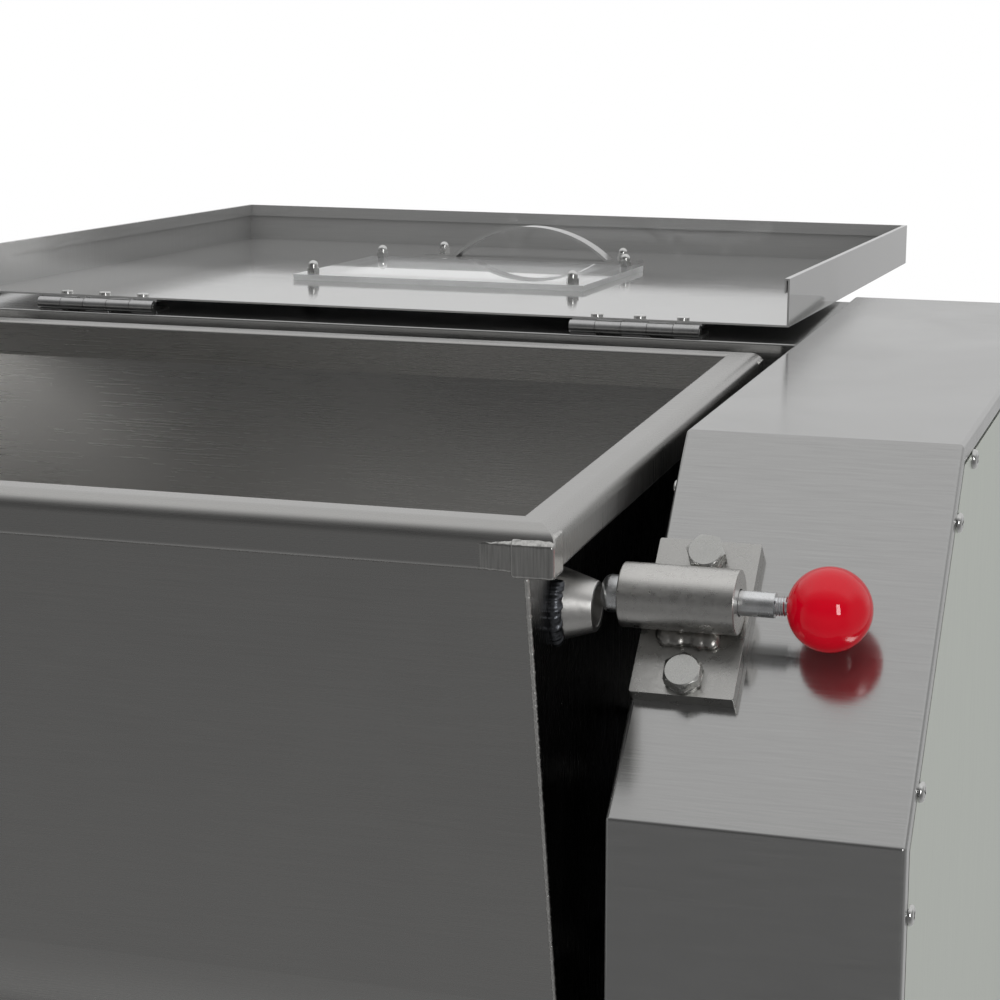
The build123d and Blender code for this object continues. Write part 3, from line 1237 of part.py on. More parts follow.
# Push buttons and gland
def button_bezels():
    """Ring on the housing's front with a sleeve through it."""
    bezels = []
    bore = BUTTON_RADIUS + BUTTON_CLEARANCE
    ring = (FRONT_Y - BEZEL_THICKNESS, FRONT_Y)
    sleeve = (FRONT_Y, FRONT_Y + BEZEL_DEPTH)
    for z in button_heights():
        x = DRIVE_X + BUTTON_INSET
        bezel = bar_y(BEZEL_RADIUS, ring, x, z) + bar_y(bore + BEZEL_SLEEVE, sleeve, x, z)
        bezels.append(bezel - bar_y(bore, (ring[0], sleeve[1]), x, z))
    return bezels


def contact_blocks():
    start = FRONT_Y + BEZEL_DEPTH
    half = CONTACT_BLOCK / 2
    x = DRIVE_X + BUTTON_INSET
    return [
        block((x - half, x + half), (start, start + CONTACT_DEPTH), (z - half, z + half))
        for z in button_heights()
    ]


def push_button(z):
    front = FRONT_Y - BEZEL_THICKNESS - BUTTON_PROUD
    button = bar_y(BUTTON_RADIUS, (front, front + BUTTON_LENGTH), DRIVE_X + BUTTON_INSET, z)
    return fillet(button.edges().sort_by(Axis.Y)[0], BUTTON_ROUND)


def cable_gland():
    """Gland at the back of the drive housing, for the mains lead."""
    x = DRIVE_X + GLAND_INSET
    hex_face = Plane(origin=(x, BACK_Y, GLAND_HEIGHT), x_dir=(1, 0, 0), z_dir=(0, 1, 0))
    gland = extrude(hex_face * hexagon(GLAND_HEX), GLAND_FLANGE)
    gland += bar_y(GLAND_RADIUS, (BACK_Y - GLAND_FLANGE, BACK_Y + GLAND_LENGTH), x, GLAND_HEIGHT)
    gland = fillet(gland.edges().sort_by(Axis.Y)[-1], GLAND_FLANGE / 2)
    return gland - bar_y(GLAND_BORE, (BACK_Y - GLAND_FLANGE, BACK_Y + GLAND_LENGTH), x, GLAND_HEIGHT)


# All pieces by name
START_HEIGHT, STOP_HEIGHT = button_heights()
PIECES = {
    "drive_housing_shell": drive_housing_shell(),
    "idle_housing_shell": housing_shell(IDLE),
    "drive_side_cover": side_cover(DRIVE),
    "idle_side_cover": side_cover(IDLE),
    "cover_screws": cover_screws(),
    "side_frames": side_frames(),
    "cross_tubes": cross_tubes(),
    "bearing_plates": bearing_plates(),
    "rear_deck": rear_deck(),
    "rear_panel": rear_panel(),
    "front_panel": front_panel(),
    "base_cover": base_cover(),
    "drive_bed": drive_bed(),
    "foot_stems": foot_stems(),
    "foot_pads": foot_pads(),
    "trunnion_sleeves": trunnion_sleeves(),
    "shaft_seals": shaft_seals(),
    "bearing_housings": bearing_housings(),
    "bearing_inserts": bearing_inserts(),
    "bearing_bolts": bearing_bolts(),
    "drive_chain": drive_chain(),
    "reducer_case": reducer_case(),
    "motor_case": motor_case(),
    "fan_cover": fan_cover(),
    "latch_plate": latch_plate(),
    "latch_barrel": latch_barrel(),
    "latch_bolts": latch_bolts(),
    "latch_spring": latch_spring(),
    "deck_hinge_leaves": deck_hinge_leaves(),
    "deck_hinge_rivets": deck_hinge_rivets(),
    "hinge_pins": hinge_pins(),
    "button_bezels": button_bezels(),
    "contact_blocks": contact_blocks(),
    "cable_gland": cable_gland(),
    "bowl_trough": bowl_trough(),
    "bowl_ends": bowl_ends(),
    "bowl_rim": bowl_rim(),
    "lock_socket": lock_socket(),
    "bowl_hubs": bowl_hubs(),
    "bowl_bushes": bowl_bushes(),
    "mixing_shaft": mixing_shaft(),
    "agitator_spiders": agitator_spiders(),
    "kneading_bars": kneading_bars(),
    "main_sprocket": sprocket(MAIN_TEETH, MAIN_PITCH_RADIUS, MAIN_HUB_RADIUS, SHAFT_RADIUS, SHAFT_Z),
    "output_shaft": output_shaft(),
    "worm_wheel": worm_wheel(),
    "drive_sprocket": sprocket(DRIVE_TEETH, DRIVE_PITCH_RADIUS, DRIVE_HUB_RADIUS, OUTPUT_RADIUS, OUTPUT_Z),
    "worm_shaft": worm_shaft(),
    "motor_rotor": motor_rotor(),
    "cooling_fan": cooling_fan(),
    "lid_tray": lid_tray(),
    "lid_window": lid_window(),
    "lid_dome_nuts": lid_dome_nuts(),
    "lid_handle": lid_handle(),
    "lid_hinge_leaves": lid_hinge_leaves(),
    "lid_hinge_rivets": lid_hinge_rivets(),
    "lock_pin": lock_pin(),
    "ball_knob": ball_knob(),
    "start_button": push_button(START_HEIGHT),
    "stop_button": push_button(STOP_HEIGHT),
}

os.makedirs("parts", exist_ok=True)
for name, piece in PIECES.items():
    shapes = piece if isinstance(piece, list) else [piece]
    solids = [solid for shape in shapes for solid in shape.solids()]
    export_step(solids[0] if len(solids) == 1 else Compound(solids), f"parts/{name}.step")
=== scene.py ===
"""Dress the dough mixer: steel finishes, welds, fasteners, a plain studio and the camera."""

import json
import logging
import math
from contextlib import contextmanager
from dataclasses import dataclass, field
from enum import Enum
from typing import Callable, Iterator, Optional, Protocol, Sequence, Union

import bmesh
import bpy
from mathutils import Matrix, Vector

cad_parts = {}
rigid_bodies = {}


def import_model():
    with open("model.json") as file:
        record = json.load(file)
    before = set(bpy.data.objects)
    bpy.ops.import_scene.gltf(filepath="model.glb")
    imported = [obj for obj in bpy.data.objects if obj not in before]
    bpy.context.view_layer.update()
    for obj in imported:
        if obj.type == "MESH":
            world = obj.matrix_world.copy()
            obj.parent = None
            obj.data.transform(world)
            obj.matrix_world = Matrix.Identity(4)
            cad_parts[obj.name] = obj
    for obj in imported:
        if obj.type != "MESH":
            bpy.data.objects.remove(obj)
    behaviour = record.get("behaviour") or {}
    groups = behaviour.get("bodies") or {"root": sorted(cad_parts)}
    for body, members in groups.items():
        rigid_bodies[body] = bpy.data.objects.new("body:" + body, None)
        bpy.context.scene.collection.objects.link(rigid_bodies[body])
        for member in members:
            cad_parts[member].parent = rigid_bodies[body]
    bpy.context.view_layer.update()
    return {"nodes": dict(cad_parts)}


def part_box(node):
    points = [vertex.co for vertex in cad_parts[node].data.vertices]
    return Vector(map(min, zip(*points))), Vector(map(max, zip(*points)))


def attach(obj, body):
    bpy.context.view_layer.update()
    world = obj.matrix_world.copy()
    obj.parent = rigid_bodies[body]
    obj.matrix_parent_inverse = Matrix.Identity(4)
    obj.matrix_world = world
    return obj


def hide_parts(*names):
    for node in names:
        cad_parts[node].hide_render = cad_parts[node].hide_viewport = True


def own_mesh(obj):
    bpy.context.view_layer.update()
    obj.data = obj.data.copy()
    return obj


LOG = logging.getLogger("dough_mixer")

Colour = tuple[float, float, float]
Triple = tuple[float, float, float]
Pair = tuple[float, float]
Test = Callable[[Vector, Vector], bool]
Socket = bpy.types.NodeSocket
Feed = Union[Socket, float, tuple]

# Two places count as one within NEAR metres. A face looks along a direction from FACING of its normal up
# when it is selected, and from SIDE_SHARE up in a finish.
NEAR = 1e-5
FACING = 0.9
SIDE_SHARE = 0.7
WHITE = (1.0, 1.0, 1.0, 1.0)


class Body(Enum):
    """The bodies that pieces ride on, as the record names them."""

    ROOT = "root"
    BOWL = "bowl"
    LOCK_PLUNGER = "lock_plunger"


class Axis(Enum):
    """The direction that polishing or turning lines run along."""

    X = 0
    Y = 1
    Z = 2


class Blend(Enum):
    """What a mix blends, with the number of its first input."""

    FLOAT = 2
    VECTOR = 4
    RGBA = 6


class Cut(Enum):
    """What a tool does to a piece, as Blender names it."""

    AWAY = "DIFFERENCE"
    TOGETHER = "UNION"
    TO_SHAPE = "INTERSECT"


class Finish(Protocol):
    """What every finish offers: its name and its material."""

    name: str

    def material(self) -> bpy.types.Material:
        """Make the finish's material."""


def turned(degrees: float, axis: str) -> Matrix:
    """Give a turn about X, Y or Z."""
    return Matrix.Rotation(math.radians(degrees), 4, axis)


class Bench:
    """Blender's modelling tools, used on one piece at a time."""

    @staticmethod
    def take(*pieces: bpy.types.Object) -> None:
        """Select only these pieces and make the first one active.

        Args:
            pieces: The pieces to work on.
        """
        bpy.ops.object.select_all(action="DESELECT")
        for piece in pieces:
            piece.select_set(True)
        bpy.context.view_layer.objects.active = pieces[0]

    @staticmethod
    def settle(name: str) -> bpy.types.Object:
        """Name the new primitive and move its place into its mesh.

        Args:
            name: The piece's name.

        Returns:
            The piece.
        """
        piece = bpy.context.object
        piece.name = name
        bpy.ops.object.transform_apply(location=True, rotation=True, scale=True)
        return piece

    @staticmethod
    def block(name: str, low: Triple, high: Triple) -> bpy.types.Object:
        """Add a box between two corners.

        Args:
            name: The piece's name.
            low: The lowest corner.
            high: The highest corner.

        Returns:
            The piece.
        """
        bpy.ops.object.select_all(action="DESELECT")
        centre = [(a + b) / 2.0 for a, b in zip(low, high)]
        size = [b - a for a, b in zip(low, high)]
        bpy.ops.mesh.primitive_cube_add(size=1.0, location=centre, scale=size)
        return Bench.settle(name)

    @staticmethod
    def drum(name: str, radius: float, low: float, high: float, sides: int = 64) -> bpy.types.Object:
        """Add a cylinder on the Z axis.

        Args:
            name: The piece's name.
            radius: Its radius, to its corners.
            low: Where it starts.
            high: Where it ends.
            sides: How many sides it has.

        Returns:
            The piece.
        """
        bpy.ops.object.select_all(action="DESELECT")
        bpy.ops.mesh.primitive_cylinder_add(
            vertices=sides, radius=radius, depth=high - low, location=(0.0, 0.0, (low + high) / 2.0)
        )
        return Bench.settle(name)

    @staticmethod
    @contextmanager
    def editing(piece: bpy.types.Object) -> Iterator[None]:
        """Work on one piece in edit mode.

        Args:
            piece: The piece to shape.
        """
        Bench.take(piece)
        bpy.ops.object.mode_set(mode="EDIT")
        yield
        bpy.ops.object.mode_set(mode="OBJECT")

    @staticmethod
    @contextmanager
    def picking(kind: str) -> Iterator[bmesh.types.BMesh]:
        """Deselect everything in edit mode and give the mesh, to select in.

        Args:
            kind: FACE or EDGE, as Blender names them.
        """
        bpy.ops.mesh.select_mode(type=kind)
        bpy.ops.mesh.select_all(action="DESELECT")
        yield bmesh.from_edit_mesh(bpy.context.object.data)
        bmesh.update_edit_mesh(bpy.context.object.data)

    @staticmethod
    def pick_faces(test: Test) -> None:
        """Select faces.

        Args:
            test: What a face's centre and normal have to pass.
        """
        with Bench.picking("FACE") as mesh:
            for face in mesh.faces:
                face.select_set(test(face.calc_center_median(), face.normal))

    @staticmethod
    def pick_edges(test: Test) -> None:
        """Select edges.

        Args:
            test: What an edge's two ends have to pass.
        """
        with Bench.picking("EDGE") as mesh:
            for edge in mesh.edges:
                edge.select_set(test(edge.verts[0].co, edge.verts[1].co))

    @staticmethod
    def push(step: Triple) -> None:
        """Extrude what is selected by a step."""
        bpy.ops.mesh.extrude_region_move(TRANSFORM_OT_translate={"value": step})

    @staticmethod
    def modify(piece: bpy.types.Object, kind: str, **settings: object) -> None:
        """Put a modifier on a piece and apply it.

        Args:
            piece: The piece to change.
            kind: Blender's name of the modifier type.
            settings: Its settings.
        """
        Bench.take(piece)
        modifier = piece.modifiers.new(kind.lower(), kind)
        for setting, value in settings.items():
            setattr(modifier, setting, value)
        bpy.ops.object.modifier_apply(modifier=modifier.name)

    @staticmethod
    def round_edges(piece: bpy.types.Object, width: float, segments: int, angle: float) -> None:
        """Bevel the edges where faces meet at more than an angle.

        Args:
            piece: The piece to change.
            width: The bevel's width.
            segments: How many faces the bevel has across.
            angle: The angle in degrees.
        """
        limit = math.radians(angle)
        Bench.modify(piece, "BEVEL", width=width, segments=segments, limit_method="ANGLE", angle_limit=limit)

    @staticmethod
    def carve(piece: bpy.types.Object, tool: bpy.types.Object, cut: Cut) -> None:
        """Cut, join or trim a piece with a tool, which is used up.

        Args:
            piece: The piece to change.
            tool: The other shape.
            cut: What the tool does.
        """
        Bench.modify(piece, "BOOLEAN", object=tool, operation=cut.value, solver="EXACT")
        Bench.scrap(tool)

    @staticmethod
    def scrap(piece: bpy.types.Object) -> None:
        """Throw a piece away."""
        bpy.data.objects.remove(piece, do_unlink=True)

    @staticmethod
    def copy(piece: bpy.types.Object, place: Matrix) -> bpy.types.Object:
        """Copy a piece, with a mesh of its own, to a place.

        Args:
            piece: The piece to copy.
            place: Where the copy goes.

        Returns:
            The copy.
        """
        twin = piece.copy()
        twin.data = piece.data.copy()
        bpy.context.scene.collection.objects.link(twin)
        twin.data.transform(place)
        return twin

    @staticmethod
    def join(name: str, pieces: Sequence[bpy.types.Object]) -> bpy.types.Object:
        """Join pieces into one.

        Args:
            name: The joined piece's name.
            pieces: The pieces, of which the first one stays.

        Returns:
            The joined piece.
        """
        Bench.take(*pieces)
        if len(pieces) > 1:
            bpy.ops.object.join()
        pieces[0].name = name
        pieces[0].data.name = name
        return pieces[0]

    @staticmethod
    def smooth(piece: bpy.types.Object, angle: float = 35.0) -> None:
        """Shade a piece smoothly where its faces meet at less than an angle in degrees."""
        Bench.take(piece)
        bpy.ops.object.shade_smooth_by_angle(angle=math.radians(angle))


class Wiring:
    """A node tree, with short ways to add, fill and link its nodes."""

    tree: bpy.types.NodeTree

    def node(self, kind: str, **options: object) -> bpy.types.Node:
        """Add a node.

        Args:
            kind: Blender's name of the node type.
            options: Properties of the node to set.

        Returns:
            The new node.
        """
        node = self.tree.nodes.new(kind)
        for option, value in options.items():
            setattr(node, option, value)
        return node

    def feed(self, socket: Socket, value: Feed) -> None:
        """Link a socket to another one, or set its own value.

        Args:
            socket: The input to fill.
            value: An output socket, or a plain value.
        """
        if isinstance(value, bpy.types.NodeSocket):
            self.tree.links.new(value, socket)
        else:
            socket.default_value = value

    def math(self, operation: str, first: Feed, second: Feed = 0.0) -> Socket:
        """Work out one operation on one or two values.

        Args:
            operation: The Math node's name of it.
            first: The first value.
            second: The second value.

        Returns:
            The result.
        """
        node = self.node("ShaderNodeMath", operation=operation)
        self.feed(node.inputs[0], first)
        self.feed(node.inputs[1], second)
        return node.outputs["Value"]


class NodeSheet(Wiring):
    """One material's nodes, laid out from its patterns to its shader."""

    def __init__(self, name: str) -> None:
        """Start a material that holds one principled shader.

        Args:
            name: The material's name.
        """
        self.material = bpy.data.materials.new(name)
        self.material.use_nodes = True
        self.tree = self.material.node_tree
        self.shader = self.tree.nodes["Principled BSDF"]

    def set(self, name: str, value: Feed) -> None:
        """Fill the shader's input of that name."""
        self.feed(self.shader.inputs[name], value)

    def coat(self, colour: Socket, rough: Feed, normal: Optional[Socket] = None, metallic: float = 0.0) -> None:
        """Fill the inputs that every finish has.

        Args:
            colour: The base colour.
            rough: The roughness.
            normal: The normal, where the surface has a bump.
            metallic: 1 for bare metal.
        """
        self.set("Base Color", colour)
        self.set("Roughness", rough)
        self.set("Metallic", metallic)
        if normal is not None:
            self.set("Normal", normal)

    def coords(self, scale: Triple = (1.0, 1.0, 1.0)) -> Socket:
        """Give the piece's own coordinates, stretched.

        Args:
            scale: Repeats per metre along X, Y and Z.

        Returns:
            The vector to feed a pattern with.
        """
        stretch = self.node("ShaderNodeMapping")
        self.feed(stretch.inputs["Vector"], self.node("ShaderNodeTexCoord").outputs["Object"])
        self.feed(stretch.inputs["Scale"], scale)
        return stretch.outputs["Vector"]

    def noise(self, vector: Socket, scale: float = 1.0, detail: float = 2.0, twist: float = 0.0) -> Socket:
        """Give a noise pattern.

        Args:
            vector: The coordinates that it follows.
            scale: Its own scale.
            detail: How many finer layers it has.
            twist: How far the pattern is distorted.

        Returns:
            A value around 0.5.
        """
        node = self.node("ShaderNodeTexNoise")
        self.feed(node.inputs["Vector"], vector)
        node.inputs["Scale"].default_value = scale
        node.inputs["Detail"].default_value = detail
        node.inputs["Distortion"].default_value = twist
        return node.outputs["Fac"]

    def lines(self, axis: Axis, across: float, along: float) -> Socket:
        """Give fine lines that run along an axis.

        Args:
            axis: The direction of the lines.
            across: Lines per metre.
            along: Breaks per metre of a line.

        Returns:
            A value around 0.5.
        """
        scale = [across, across, across]
        scale[axis.value] = along
        return self.noise(self.coords(tuple(scale)), detail=3.0)

    def span(self, value: Socket, low: float, high: float, start: float = 0.3, end: float = 0.7) -> Socket:
        """Map a value between two limits.

        Args:
            value: The value to map.
            low: The result at start and below.
            high: The result at end and above.
            start: Where the map starts.
            end: Where it ends.

        Returns:
            The mapped value.
        """
        node = self.node("ShaderNodeMapRange", clamp=True)
        self.feed(node.inputs["Value"], value)
        limits = {"From Min": start, "From Max": end, "To Min": low, "To Max": high}
        for name, limit in limits.items():
            node.inputs[name].default_value = limit
        return node.outputs["Result"]

    def mix(self, factor: Feed, first: Feed, second: Feed, kind: Blend = Blend.FLOAT) -> Socket:
        """Blend two values, vectors or colours.

        Args:
            factor: 0 for the first, 1 for the second.
            first: The first of the two.
            second: The second.
            kind: What they are.

        Returns:
            The blend.
        """
        node = self.node("ShaderNodeMix", data_type=kind.name)
        place = kind.value
        self.feed(node.inputs[0], factor)
        self.feed(node.inputs[place], first)
        self.feed(node.inputs[place + 1], second)
        return node.outputs[place // 2 - 1]

    def shades(self, factor: Socket, colour: Colour, low: float, high: float) -> Socket:
        """Blend a darker and a lighter shade of a colour.

        Args:
            factor: 0 for the darker shade, 1 for the lighter one.
            colour: The colour, linear.
            low: The darker shade's strength.
            high: The lighter shade's strength.

        Returns:
            The colour to feed the shader with.
        """
        dark = tuple(low * part for part in colour) + (1.0,)
        light = tuple(min(1.0, high * part) for part in colour) + (1.0,)
        return self.mix(self.span(factor, 0.0, 1.0), dark, light, Blend.RGBA)

    def bump(self, height: Socket, depth: float) -> Socket:
        """Give the normal of a surface with a height pattern.

        Args:
            height: The pattern.
            depth: Its height in metres from 0 to 1.

        Returns:
            The normal.
        """
        node = self.node("ShaderNodeBump")
        self.feed(node.inputs["Strength"], 1.0)
        self.feed(node.inputs["Distance"], depth)
        self.feed(node.inputs["Height"], height)
        return node.outputs["Normal"]

    def faces(self, axis: Axis) -> Socket:
        """Give 1 on faces that look either way along an axis and 0 on the others.

        Args:
            axis: The axis.

        Returns:
            The value, 0 or 1.
        """
        normal = self.node("ShaderNodeTexCoord").outputs["Normal"]
        parts = self.node("ShaderNodeSeparateXYZ")
        self.feed(parts.inputs["Vector"], normal)
        return self.math("GREATER_THAN", self.math("ABSOLUTE", parts.outputs[axis.name]), SIDE_SHARE)

    def tangent(self, axis: Axis) -> Socket:
        """Give the tangent that goes round an axis."""
        return self.node("ShaderNodeTangent", direction_type="RADIAL", axis=axis.name).outputs["Tangent"]


@dataclass(frozen=True)
class SheetSteel:
    """Polished stainless sheet: straight lines along one axis, upright lines on its side faces."""

    name: str
    colour: Colour
    roughness: float
    lines: float = 1700.0
    breaks: float = 26.0
    depth: float = 0.000007
    anisotropy: float = 0.6
    smudge: float = 0.04
    tone: float = 0.05
    along: Axis = Axis.X
    metallic: float = 1.0
    swing: float = 0.04
    cloud_share: float = 0.3

    def base(self, sheet: NodeSheet, blend: Socket) -> Socket:
        """Give the base colour, from a pattern that varies it."""
        return sheet.shades(blend, self.colour, 1.0 - self.tone, 1.0 + self.tone)

    def material(self) -> bpy.types.Material:
        """Make the finish's material.

        Returns:
            The material.
        """
        sheet = NodeSheet(self.name)
        side = sheet.faces(Axis.X)
        grain = sheet.mix(
            side,
            sheet.lines(self.along, self.lines, self.breaks),
            sheet.lines(Axis.Z, self.lines, self.breaks),
        )
        cloud = sheet.noise(sheet.coords(), scale=7.0, detail=4.0, twist=0.6)
        rough = sheet.math(
            "ADD",
            sheet.span(grain, self.roughness - self.swing, self.roughness + self.swing),
            sheet.span(cloud, -self.smudge, self.smudge),
        )
        colour = self.base(sheet, sheet.mix(self.cloud_share, grain, cloud))
        sheet.coat(colour, rough, sheet.bump(grain, self.depth), self.metallic)
        sheet.set("Tangent", sheet.mix(side, sheet.tangent(self.along), sheet.tangent(Axis.Z), Blend.VECTOR))
        sheet.set("Anisotropic", self.anisotropy)
        return sheet.material


@dataclass(frozen=True)
class EndSheet(SheetSteel):
    """The bowl's end plates: polished inside, with painted shade outside: a darker base colour on the faces
    that look into the shaded gap by the housing.
    """

    middle: float = -0.029
    half: float = 0.2555
    # Strengths of the painted shade on the faces that look out of the bowl.
    painted_outside_shade: Pair = (0.198, 0.242)

    def base(self, sheet: NodeSheet, blend: Socket) -> Socket:
        """Give the base colour, with painted shade (a darker base) on the faces that look out of the bowl.

        Args:
            sheet: The material's nodes.
            blend: The pattern that varies it.

        Returns:
            The colour.
        """
        parts = sheet.node("ShaderNodeSeparateXYZ")
        sheet.feed(parts.inputs["Vector"], sheet.coords())
        # Painted shade: faces farther than half from the middle look into the dark gap by the housing, so they
        # get a darker shade of the colour.
        reach = sheet.math("ABSOLUTE", sheet.math("SUBTRACT", parts.outputs["X"], self.middle))
        gap_shade_mask = sheet.math("GREATER_THAN", reach, self.half)
        bright = super().base(sheet, blend)
        dark = sheet.shades(blend, self.colour, *self.painted_outside_shade)
        return sheet.mix(gap_shade_mask, bright, dark, Blend.RGBA)


@dataclass(frozen=True)
class TurnedSteel:
    """Steel turned on a lathe: fine rings round an axis."""

    name: str
    colour: Colour
    roughness: float
    axis: Axis = Axis.X
    rings: float = 2200.0
    breaks: float = 18.0
    depth: float = 0.00001
    swing: float = 0.08
    shade: Pair = (0.86, 1.08)

    def material(self) -> bpy.types.Material:
        """Make the finish's material.

        Returns:
            The material.
        """
        sheet = NodeSheet(self.name)
        ring = sheet.lines(self.axis, across=self.breaks, along=self.rings)
        cloud = sheet.noise(sheet.coords(), scale=60.0, detail=4.0, twist=0.5)
        wear = sheet.mix(0.5, ring, cloud)
        rough = sheet.span(wear, self.roughness - self.swing, self.roughness + self.swing)
        colour = sheet.shades(cloud, self.colour, *self.shade)
        sheet.coat(colour, rough, sheet.bump(ring, self.depth), metallic=1.0)
        return sheet.material


@dataclass(frozen=True)
class PlatedSteel:
    """Plated or tumbled small metalwork with a faint mottle."""

    name: str
    colour: Colour
    roughness: float
    grain: float = 900.0
    depth: float = 0.00002
    mottle: float = 0.12
    patch: float = 8.0

    def material(self) -> bpy.types.Material:
        """Make the finish's material.

        Returns:
            The material.
        """
        sheet = NodeSheet(self.name)
        fine = sheet.noise(sheet.coords(), self.grain, detail=3.0)
        cloud = sheet.noise(sheet.coords(), self.grain / self.patch, detail=4.0, twist=0.7)
        speck = sheet.mix(0.5, fine, cloud)
        colour = sheet.shades(speck, self.colour, 1.0 - self.mottle, 1.0 + self.mottle)
        half = 0.5 * self.mottle
        rough = sheet.span(cloud, self.roughness - half, self.roughness + half)
        sheet.coat(colour, rough, sheet.bump(fine, self.depth), metallic=1.0)
        return sheet.material


@dataclass(frozen=True)
class GlossPlastic:
    """Glossy or satin moulded plastic and paint."""

    name: str
    colour: Colour
    roughness: float
    grain: float = 700.0
    depth: float = 0.00001
    vary: float = 0.06
    patches: float = 28.0
    gloss: Pair = (0.85, 1.2)

    def material(self) -> bpy.types.Material:
        """Make the finish's material.

        Returns:
            The material.
        """
        sheet = NodeSheet(self.name)
        fine = sheet.noise(sheet.coords(), self.grain)
        cloud = sheet.noise(sheet.coords(), self.patches, detail=3.0)
        colour = sheet.shades(cloud, self.colour, 1.0 - self.vary, 1.0 + self.vary)
        low, high = (share * self.roughness for share in self.gloss)
        sheet.coat(colour, sheet.span(cloud, low, high), sheet.bump(fine, self.depth))
        return sheet.material


@dataclass(frozen=True)
class ClearPlate:
    """Clear acrylic plate with faint wipe marks and sawn edges."""

    name: str
    colour: Colour
    roughness: float = 0.02
    sawn: float = 0.55
    wiped: float = 0.05
    wipe_scale: Triple = (12.0, 60.0, 12.0)
    shade: Pair = (0.985, 1.0)
    clearness: float = 0.7
    refraction: float = 1.49

    def material(self) -> bpy.types.Material:
        """Make the finish's material.

        Returns:
            The material.
        """
        sheet = NodeSheet(self.name)
        wipe = sheet.noise(sheet.coords(self.wipe_scale), detail=4.0, twist=0.8)
        polish = sheet.span(wipe, self.roughness, self.roughness + self.wiped, start=0.5, end=0.8)
        rough = sheet.mix(sheet.faces(Axis.Z), self.sawn, polish)
        sheet.coat(sheet.shades(wipe, self.colour, *self.shade), rough)
        sheet.set("Transmission Weight", self.clearness)
        sheet.set("IOR", self.refraction)
        return sheet.material


ZINC_PIN = PlatedSteel("zinc_pin", (0.78, 0.79, 0.80), 0.3)
SPRING_STEEL = PlatedSteel("spring_steel", (0.42, 0.42, 0.43), 0.3)


@dataclass
class FinishRack:
    """Keeps each finish's material, so that pieces share it."""

    made: dict[str, bpy.types.Material] = field(default_factory=dict)

    def take(self, finish: Finish) -> bpy.types.Material:
        """Give a finish's material, made at its first use.

        Args:
            finish: The finish.

        Returns:
            The material.
        """
        if finish.name not in self.made:
            self.made[finish.name] = finish.material()
        return self.made[finish.name]

    def fit(
        self, piece: bpy.types.Object, body: Body, slot: str, finish: Finish, stands_for: Optional[str] = None
    ) -> None:
        """Finish a modelled piece and hang it on its body.

        Args:
            piece: The piece, with its place in its mesh.
            body: The body that it rides on.
            slot: The record's material slot; not used.
            finish: Its finish.
            stands_for: The CAD node that it replaces, if any.
        """
        Bench.smooth(piece)
        Bench.modify(piece, "WEIGHTED_NORMAL", keep_sharp=True)
        piece.data.materials.clear()
        piece.data.materials.append(self.take(finish))
        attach(piece, body.value)
        if stands_for is not None:
            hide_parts(stands_for)
        LOG.info("%s rides on %s and wears %s", piece.name, body.value, finish.name)


@dataclass(frozen=True)
class WeldRun:
    """Overlapping weld drops, each leaning over the one before, melted together."""

    drop: float
    pitch: float
    length: float = 0.6
    height: float = 0.8
    lean: float = 30.0
    grain: float = 0.0005
    melt: int = 2
    waves: tuple[Pair, ...] = ((0.10, 2.4), (0.05, 5.3))

    def lay(self, name: str, points: Sequence[Vector], up: Vector) -> bpy.types.Object:
        """Lay the drops along a line.

        Args:
            name: The weld's name.
            points: The line, as points a pitch apart.
            up: The direction away from the plate under the weld.

        Returns:
            The weld.
        """
        bpy.ops.object.select_all(action="DESELECT")
        bpy.ops.mesh.primitive_uv_sphere_add(segments=16, ring_count=8, radius=self.drop)
        master = Bench.settle(name)
        drops = []
        for index, point in enumerate(points):
            ahead = points[min(index + 1, len(points) - 1)] - points[max(index - 1, 0)]
            drops.append(Bench.copy(master, self.drop_place(point, ahead, up, index)))
        Bench.scrap(master)
        weld = Bench.join(name, drops)
        Bench.modify(weld, "REMESH", mode="VOXEL", voxel_size=self.grain)
        Bench.modify(weld, "SMOOTH", factor=0.5, iterations=self.melt)
        return weld

    def drop_place(self, point: Vector, ahead: Vector, up: Vector, index: int) -> Matrix:
        """Work out one drop's place, lean and size.

        Args:
            point: Its middle.
            ahead: The direction of the line.
            up: The direction away from the plate.
            index: Its number, from which its size varies.

        Returns:
            The drop's matrix.
        """
        along = (ahead - ahead.project(up)).normalized()
        across = up.cross(along)
        turn = Matrix((along, across, up)).transposed().to_4x4()
        vary = 1.0 + sum(swell * math.sin(rate * index) for swell, rate in self.waves)
        size = Matrix.Diagonal((self.length * vary, vary, self.height * vary, 1.0))
        return Matrix.Translation(point) @ turn @ turned(self.lean, "Z") @ size


